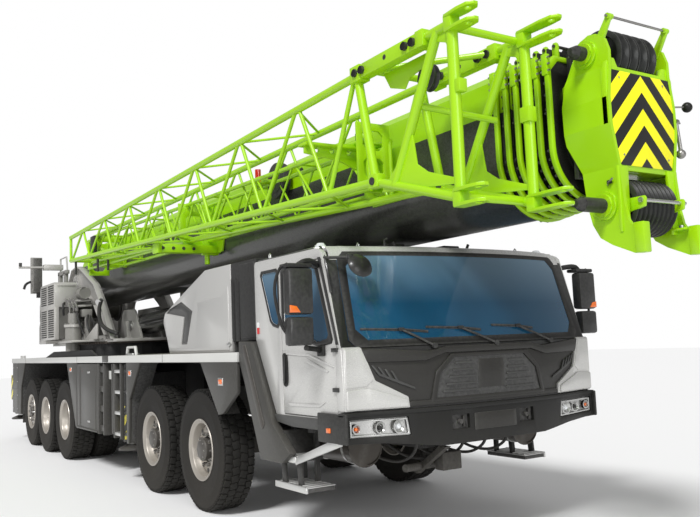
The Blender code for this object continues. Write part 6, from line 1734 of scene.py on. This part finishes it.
TOP_PIN, LOW_PIN = (4.66, 3.73), (4.72, 2.62)
CHEVRON_PAINT = finish("chevron_paint", (0.93, 0.88, 0.004), 0.4, coat=0.2, dust=0.0, wear=0.0,
    pattern=chevrons)
head = Piece("boom_head_shapes")
section_skin(head, 7, -7.50, 4.50)
head.add(WEAR_PAD, plate("YZ", (-7.50, -7.28), full_loop(SECTION_STEP * 6 - 0.016),
    full_loop(SECTION_STEP * 6 + WALL), rounding=0.003))
for _, side in SIDES:
    head.add(LIME, folded_cheek(side))
    for (pin_x, pin_z), boss_r in ((TOP_PIN, 0.100), (LOW_PIN, 0.105)):
        out_y = cheek_y(pin_z)
        head.add(LIME, rod((pin_x, side * (out_y - 0.005), pin_z), (pin_x, side * (out_y + 0.022), pin_z),
            boss_r, 36, rounding=0.006), rod((pin_x, side * (out_y + 0.02), pin_z),
            (pin_x, side * (out_y + 0.036), pin_z), boss_r * 0.78, 36, rounding=0.005))
        if side < 0:
            tip_y = -0.50 if pin_z > 3 else -0.62
            head.add(PIN_BLACK, cross_rod(pin_x, (-out_y - 0.03, tip_y + 0.06), pin_z, 0.052, 28),
                cross_rod(pin_x, (tip_y + 0.06, tip_y), pin_z, 0.052, 8, 0.026))
        else:
            head.add(PIN_BLACK, cross_rod(pin_x, (out_y + 0.03, out_y + 0.05), pin_z, 0.045, 28))
    arm = [(4.72, 3.78), (4.79, 3.76), (4.895, 3.945), (4.885, 3.965), (4.855, 3.965)]
    head.add(LIME, plate("XZ", beside(side, 0.300, 0.325), arm, rounding=0.004),
        cross_rod(4.870, (side * 0.285, side * 0.335), 3.948, 0.021, 16))
    head.add(LIME, block((4.955, 5.035), beside(side, 0.262, 0.335), (2.262, 2.470), 0.008),
        plate("YZ", (4.835, 4.862), [(side * 0.215, 2.886), (side * 0.325, 2.886), (side * 0.325, 2.42),
        (side * 0.235, 2.42)], rounding=0.006),
        block((4.845, 4.955), beside(side, 0.225, 0.300), (2.445, 2.462), 0.006),
        plate("XZ", beside(side, 0.200, 0.222),
        [(4.845, 2.66), (4.975, 2.66), (4.985, 2.64), (4.975, 2.585), (4.845, 2.560)], rounding=0.006))
    head.add(BARE_STEEL, cross_rod(4.95, (side * 0.222, side * 0.235), 2.632, 0.020, 12),
        post(4.92, side * 0.240, (2.462, 2.478), 0.016, 12))
head.add(STUD_STEEL, cross_rod(4.870, (-0.35, 0.35), 3.948, 0.009, 12))
head.add(BARE_STEEL, cross_rod(4.952, (-0.22, 0.26), 2.632, 0.014, 14))
head.add(LIME, plate("YZ", (4.800, 4.850), [(-0.325, 3.66), (-0.365, 3.575), (-0.372, 3.37), (-0.372, 3.18),
    (-0.31, 2.855), (0.31, 2.855), (0.372, 3.18), (0.372, 3.37), (0.365, 3.575), (0.325, 3.66),
    (0.265, 3.66), (0.235, 3.60), (-0.235, 3.60), (-0.265, 3.66)], rounding=0.006),
    block((4.62, 4.83), (-0.31, 0.31), (2.857, 2.885), 0.004))
head.add(BOOM_BLACK, block((4.46, 4.50), (-0.31, 0.31), (2.86, 3.60), 0.004))
head.add(CHEVRON_PAINT, plate("YZ", (4.851, 4.857),
    [(-0.338, 3.570), (-0.365, 3.38), (-0.366, 3.18), (-0.278, 2.892), (0.278, 2.892), (0.366, 3.18),
    (0.365, 3.38), (0.338, 3.570)], rounding=0.0015))
for rivet_y, rivet_z in ((-0.24, 3.52), (0.24, 3.52), (-0.245, 2.965), (0.245, 2.965)):
    head.add(BARE_STEEL, rod((4.855, rivet_y, rivet_z), (4.861, rivet_y, rivet_z), 0.008, 10))
head.add(PIN_BLACK, rod((4.28, -0.12, 3.90), (4.55, -0.12, 3.86), 0.030, 20, rounding=0.004),
    block((4.40, 4.455), (-0.20, 0.20), (3.56, 3.66), 0.004),
    block((4.395, 4.44), (-0.24, 0.24), (3.66, 3.83), 0.006))
head.add(STUD_STEEL, rod((4.42, -0.24, 3.80), (4.42, -0.16, 3.86), 0.010, 8),
    pipe([(4.755, -0.318, 2.762), (4.775, -0.335, 2.775), (4.815, -0.335, 2.800)], 0.007, 8))
head.add(PIN_BLACK, block((4.765, 4.795), (-0.34, -0.312), (2.768, 2.792), 0.004))
head.add(STUD_STEEL, pipe([(4.80, 0.372, 3.40), (4.80, 0.46, 3.405), (4.80, 0.56, 3.418)], 0.007, 8),
    pipe([(4.80, 0.372, 3.285), (4.80, 0.50, 3.285)], 0.008, 8),
    rod((4.80, 0.455, 3.285), (4.805, 0.475, 3.075), 0.015, 12),
    cross_rod(4.80, (0.44, 0.47), 3.29, 0.022, 14))
for ball_y, ball_z, ball_r, paint in ((0.60, 3.42, 0.040, PIN_BLACK), (0.476, 3.045, 0.036, STUD_STEEL)):
    ring = [(ball_r * math.sin(math.pi * i / 12), -ball_r * math.cos(math.pi * i / 12)) for i in range(13)]
    head.add(paint, lathe(ring, spot(4.805, ball_y, ball_z), 20))
head.ride("boom_head", "boom_green", "boom_head")


# ------------------------------------------------------------------------------ head sheaves
# Dark cast rope sheaves on one shaft each: four broad ones at the top of the head, nine narrow ones in the
# lower window. Each has a grooved rim and a recessed web.
SHEAVE_DARK = finish("sheave_dark", (0.016, 0.017, 0.016), 0.36, metallic=0.2, coat=0.15, depth=0.0005,
    dust=0.05)
for name, body, (pin_x, pin_z), count, span in (("upper", "sheaves_upper", TOP_PIN, 4, 0.40),
        ("lower", "sheaves_lower", LOW_PIN, 9, 0.44)):
    sheave = Piece("%s_sheaves" % name)
    pitch = span / count
    half = pitch * 0.44
    for index in range(count):
        middle_y = (index - (count - 1) / 2) * pitch
        across = spot(pin_x, middle_y, pin_z) @ Matrix.Rotation(math.pi / 2, 4, "X")
        profile = [(0.045, half * 0.9), (0.075, half * 0.9), (0.085, half * 0.45), (0.150, half * 0.45),
            (0.162, half), (0.203, half), (0.2035, half * 0.80), (0.186, half * 0.25), (0.184, 0.0),
            (0.186, -half * 0.25), (0.2035, -half * 0.80), (0.203, -half), (0.162, -half),
            (0.150, -half * 0.45), (0.085, -half * 0.45), (0.075, -half * 0.9), (0.045, -half * 0.9)]
        sheave.add(SHEAVE_DARK, lathe(profile, across, 56, closed=True))
    sheave.add(PIN_BLACK, cross_rod(pin_x, (-0.29, 0.29), pin_z, 0.046, 28))
    sheave.ride(body, "dark_panel", body)


# ------------------------------------------------------------------------------ stowed lattice jib
# A welded tube lattice folded back beside the boom: round chords, V lacing, two clevises at each of the two
# front posts, box links with dark pins, and a narrower second lattice between it and the boom.
JIB_FRONT_X, JIB_REAR_X, KNEE_X = 4.45, -5.83, 3.48
jib = Piece("lattice_jib")


def chord_point(x, outer, high):
    """The centre of a jib chord at x: the frame narrows and rises toward the rear."""
    back = (JIB_FRONT_X - x) / (JIB_FRONT_X - JIB_REAR_X)
    y = -1.40 + 0.04 * back if outer else -0.73 - 0.27 * back
    if high:
        return (x, y, 3.85 - 0.11 * back)
    if x > KNEE_X:
        return (x, y, 2.66 + 0.29 * (JIB_FRONT_X - x) / (JIB_FRONT_X - KNEE_X))
    return (x, y, 2.95 + 0.39 * (KNEE_X - x) / (KNEE_X - JIB_REAR_X))


def tube(start, end, radius=0.034, sides=16):
    """A lattice tube."""
    return rod(start, end, radius, sides)


for outer in (True, False):
    jib.add(LIME, tube(chord_point(JIB_FRONT_X, outer, True), chord_point(JIB_REAR_X, outer, True)),
        tube(chord_point(JIB_FRONT_X, outer, False), chord_point(KNEE_X, outer, False)),
        tube(chord_point(KNEE_X, outer, False), chord_point(JIB_REAR_X, outer, False)))
    jib.add(LIME, rod(chord_point(JIB_FRONT_X, outer, False), chord_point(JIB_FRONT_X, outer, True), 0.040,
        18), rod(chord_point(KNEE_X, outer, False), chord_point(3.29, outer, True), 0.036, 16),
        rod(chord_point(4.30, outer, True), chord_point(3.73, outer, False), 0.036, 16),
        rod(chord_point(JIB_REAR_X, outer, False), chord_point(JIB_REAR_X, outer, True), 0.024, 14))
    side_y = chord_point(3.8, outer, False)[1]
    low_z = chord_point(3.8, outer, False)[2]
    jib.add(LIME, plate("XZ", around(side_y, 0.008),
        [(3.56, low_z), (4.42, 2.76), (4.42, 2.80), (4.12, 2.90), (4.00, 2.98), (3.965, 3.20), (3.86, 3.10),
        (3.70, 2.97)], rounding=0.003), plate("XZ", around(side_y, 0.008),
        [(4.16, 3.83), (4.42, 3.83), (4.42, 3.68), (4.38, 3.74), (4.30, 3.77)], rounding=0.003))
    knot_x, knot_y, knot_z = chord_point(KNEE_X, outer, False)
    jib.add(LIME, block((knot_x - 0.05, knot_x + 0.07), around(knot_y, 0.042),
        (knot_z - 0.05, knot_z + 0.055), 0.008))
    jib.add(PIN_BLACK, cross_rod(knot_x + 0.01, (knot_y - 0.052, knot_y + 0.052), knot_z, 0.030, 18))
    reach = 0.0 if outer else 0.10
    for lug_z in (chord_point(JIB_FRONT_X, outer, False)[2], chord_point(JIB_FRONT_X, outer, True)[2]):
        lug_y = chord_point(JIB_FRONT_X, outer, True)[1]
        fork = [(4.42, lug_y - 0.045), (4.56 + reach, lug_y - 0.058), (4.66 + reach, lug_y - 0.050),
            (4.70 + reach, lug_y - 0.018), (4.70 + reach, lug_y + 0.018), (4.66 + reach, lug_y + 0.050),
            (4.56 + reach, lug_y + 0.058), (4.42, lug_y + 0.045)]
        for leaf_z in (lug_z - 0.062, lug_z + 0.040):
            jib.add(LIME, plate("XY", (leaf_z, leaf_z + 0.022), fork,
                circle((4.62 + reach, lug_y), 0.026, 20), rounding=0.004))
        jib.add(LIME, block((4.41, 4.49), around(lug_y, 0.044), around(lug_z, 0.058), 0.008))

for high in (True, False):
    for x in (4.40, 3.44) if high else (4.36, 3.44, JIB_REAR_X):
        jib.add(LIME, tube(chord_point(x, True, high), chord_point(x, False, high), 0.028))
jib.add(LIME, tube(chord_point(4.05, True, False), chord_point(3.90, False, False), 0.026),
    tube(chord_point(3.40, True, True), chord_point(4.15, False, True), 0.024),
    tube((4.02, -1.40, 3.40), (4.12, -0.73, 3.34), 0.024),
    block((4.41, 4.50), (-0.78, -0.70), (3.24, 3.35), 0.006),
    block((4.48, 4.53), (-1.43, -1.36), (3.36, 3.45), 0.006))

top_nodes = [2.30 - 1.222 * step for step in range(7)]
low_nodes = [2.77 - 1.235 * step for step in range(7)] + [-5.78]
for outer in (True, False):
    for index, node_x in enumerate(top_nodes):
        peak = chord_point(node_x, outer, True)
        lace = 0.018 if outer else 0.015
        jib.add(LIME, rod((peak[0] + 0.03, peak[1], peak[2]), chord_point(low_nodes[index], outer, False),
            lace, 12), rod((peak[0] - 0.03, peak[1], peak[2]),
            chord_point(low_nodes[index + 1] + 0.04, outer, False), lace, 12))
    jib.add(LIME, rod(chord_point(3.25, outer, True), chord_point(2.80, outer, False), 0.020, 12))
for high in (True, False):
    nodes_here = top_nodes if high else low_nodes
    for index, node_x in enumerate(nodes_here[:-1]):
        step_x = (nodes_here[index + 1] - node_x) / 2
        jib.add(LIME, rod(chord_point(node_x, True, high), chord_point(node_x + step_x, False, high), 0.013,
            10), rod(chord_point(node_x + step_x, False, high),
            chord_point(node_x + 2 * step_x, True, high), 0.013, 10))

for y, span, pins in ((-1.395, (3.28, 4.16), (3.33, 3.42, 3.98, 4.07)),
        (-0.735, (3.42, 4.18), (3.46, 3.58, 4.02, 4.12))):
    z = 3.845
    jib.add(LIME, block((span[0] + 0.10, span[1] - 0.05), around(y, 0.045), (z - 0.060, z + 0.050), 0.006),
        block((span[0] - 0.03, span[0] + 0.11), around(y, 0.052), (z - 0.072, z + 0.058), 0.008),
        block((span[1] - 0.06, span[1] + 0.03), around(y, 0.052), (z - 0.066, z + 0.058), 0.008))
    for pin_x in pins:
        jib.add(PIN_BLACK, cross_rod(pin_x, (y - 0.066, y + 0.066), z - 0.005, 0.032, 20, rounding=0.004))
    jib.add(DEEP_BLACK, rod(((span[0] + span[1]) / 2, y - 0.0465, z),
        ((span[0] + span[1]) / 2, y + 0.0465, z), 0.020, 16))
pulley = spot(4.02, -1.27, 3.62) @ Matrix.Rotation(math.pi / 2, 4, "X")
jib.add(LIME, plate("XZ", (-1.31, -1.295), [(3.52, 3.79), (3.60, 3.66), (3.78, 3.60), (3.84, 3.67),
    (4.05, 3.70), (4.05, 3.79)], rounding=0.004))
jib.add(SHEAVE_DARK, lathe([(0.02, 0.022), (0.075, 0.022), (0.10, 0.026), (0.092, 0.0), (0.10, -0.026),
    (0.075, -0.022), (0.02, -0.022)], pulley, 36, closed=True))


def small_point(x, outer, high):
    """The centre of a chord of the narrower second lattice at x."""
    back = (2.60 + 6.20 - (x + 6.20)) / 8.80
    y = (-0.84 - 0.12 * back) if outer else -0.60
    return (x, y, (3.55 + 0.19 * back) if high else (3.10 + 0.14 * back))


for outer in (True, False):
    for high in (True, False):
        jib.add(LIME, tube(small_point(2.60, outer, high), small_point(-6.20, outer, high), 0.024, 14))
    for bay in range(10):
        low_x = 2.55 - 0.87 * bay
        jib.add(LIME, rod(small_point(low_x, outer, False), small_point(low_x - 0.40, outer, True), 0.012,
            10), rod(small_point(low_x - 0.47, outer, True), small_point(low_x - 0.85, outer, False), 0.012,
            10))
for bay in range(8):
    x = 2.45 - 1.1 * bay
    for high in (True, False):
        jib.add(LIME, rod(small_point(x, True, high), small_point(x, False, high), 0.014, 10))
for end_x in (2.58, -6.18):
    for outer in (True, False):
        jib.add(LIME, tube(small_point(end_x, outer, False), small_point(end_x, outer, True), 0.024, 14))
    jib.add(LIME, plate("YZ", around(end_x, 0.012),
        [(-0.96, 3.12), (-0.60, 3.12), (-0.60, 3.70), (-0.96, 3.70)],
        softened([(-0.90, 3.20), (-0.68, 3.20), (-0.68, 3.38), (-0.90, 3.38)], 0.04),
        softened([(-0.90, 3.45), (-0.68, 3.45), (-0.68, 3.63), (-0.90, 3.63)], 0.04), rounding=0.003))

jib.add(LIME, plate("XZ", (-0.50, -0.474), [(2.12, 3.02), (2.62, 3.02), (2.70, 3.30), (2.62, 3.52),
    (2.12, 3.52)], rounding=0.005), plate("YZ", (2.36, 2.39),
    [(-0.49, 3.05), (-0.49, 3.50), (-0.72, 3.56), (-1.38, 3.50), (-1.38, 3.42), (-1.02, 3.38),
    (-0.76, 3.28), (-0.64, 3.10)], *(circle((hole_y, 3.46), 0.026, 16) for hole_y in (-1.26, -1.10, -0.92,
    -0.74)), rounding=0.005), block((2.30, 2.45), (-1.40, -0.60), (3.485, 3.510), 0.006),
    block((2.28, 2.34), (-0.70, -0.50), (3.06, 3.44), 0.008))
jib.add(PIN_BLACK, post(2.24, -0.62, (3.36, 3.60), 0.045, 18, rounding=0.005),
    cross_rod(2.20, (-0.70, -0.52), 3.52, 0.028, 14), post(2.34, -0.80, (3.50, 3.66), 0.010, 10))
for hold_x, reach, low, high in ((-5.60, 1.03, 3.21, 3.77),):
    jib.add(LIME, plate("YZ", (hold_x, hold_x + 0.05),
        [(-reach, low + 0.25), (-reach, high), (-0.473, high), (-0.473, low), (-reach + 0.1, low)],
        softened([(-reach + 0.07, low + 0.30), (-0.53, low + 0.22), (-0.53, high - 0.12),
        (-reach + 0.07, high - 0.12)], 0.05), rounding=0.006))
jib.add(LIME, plate("XZ", (-0.70, -0.475), [(-1.66, 2.98), (-1.60, 2.98), (-1.60, 3.60), (-1.66, 3.60)],
    rounding=0.004), plate("YZ", (-1.64, -1.62),
    [(-0.475, 3.05), (-0.475, 3.66), (-1.02, 3.66), (-1.02, 3.20), (-0.86, 3.02)],
    softened([(-0.56, 3.16), (-0.56, 3.50), (-0.92, 3.50), (-0.92, 3.24)], 0.04), rounding=0.005),
    plate("XZ", (-0.50, -0.474), [(-1.75, 3.45), (-1.15, 3.45), (-1.35, 3.28), (-1.42, 3.02),
    (-1.75, 2.98)], rounding=0.005), block((-1.72, -1.56), (-1.62 + 0.30, -0.50), (3.00, 3.11), 0.008))
for pin_y in (-1.26, -1.12, -0.98, -0.84):
    jib.add(DEEP_BLACK, rod((-1.565, pin_y, 3.055), (-1.555, pin_y, 3.055), 0.022, 16))
jib.add(LIME, block((-1.74, -1.54), (-1.34, -1.28), (2.99, 3.12), 0.006),
    post(-1.64, -0.62, (2.86, 3.05), 0.035, 16))
for hang_x, hang_y in ((-5.75, -1.30), (-5.2, -1.08), (-4.95, -0.98)):
    jib.add(PIN_BLACK, post(hang_x, hang_y, (3.34, 3.10), 0.020, 12))
jib.add(PIN_BLACK, block((-5.5, -5.30), (-1.12, -1.06), (3.35, 3.72), 0.006))
reel = spot(0.35, -0.56, 3.62) @ Matrix.Rotation(math.pi / 2, 4, "X")
jib.add(RUBBER_HOSE, lathe([(0.12, 0.05), (0.20, 0.045), (0.21, 0.0), (0.20, -0.045), (0.12, -0.05)], reel,
    36, closed=True))
jib.add(PIN_BLACK, lathe([(0.02, 0.055), (0.14, 0.055), (0.14, -0.055), (0.02, -0.055)], reel, 30,
    closed=True))
jib.add(RED_LENS, post(0.02, -0.66, (3.70, 3.80), 0.035, 20, rounding=0.006))
jib.add(AMBER, post(0.02, -0.66, (3.64, 3.70), 0.036, 20))
jib.add(LIME, block((-0.10, 0.30), (-0.70, -0.475), (3.60, 3.64), 0.005))
jib.ride("boom_base", "boom_green", "jib")
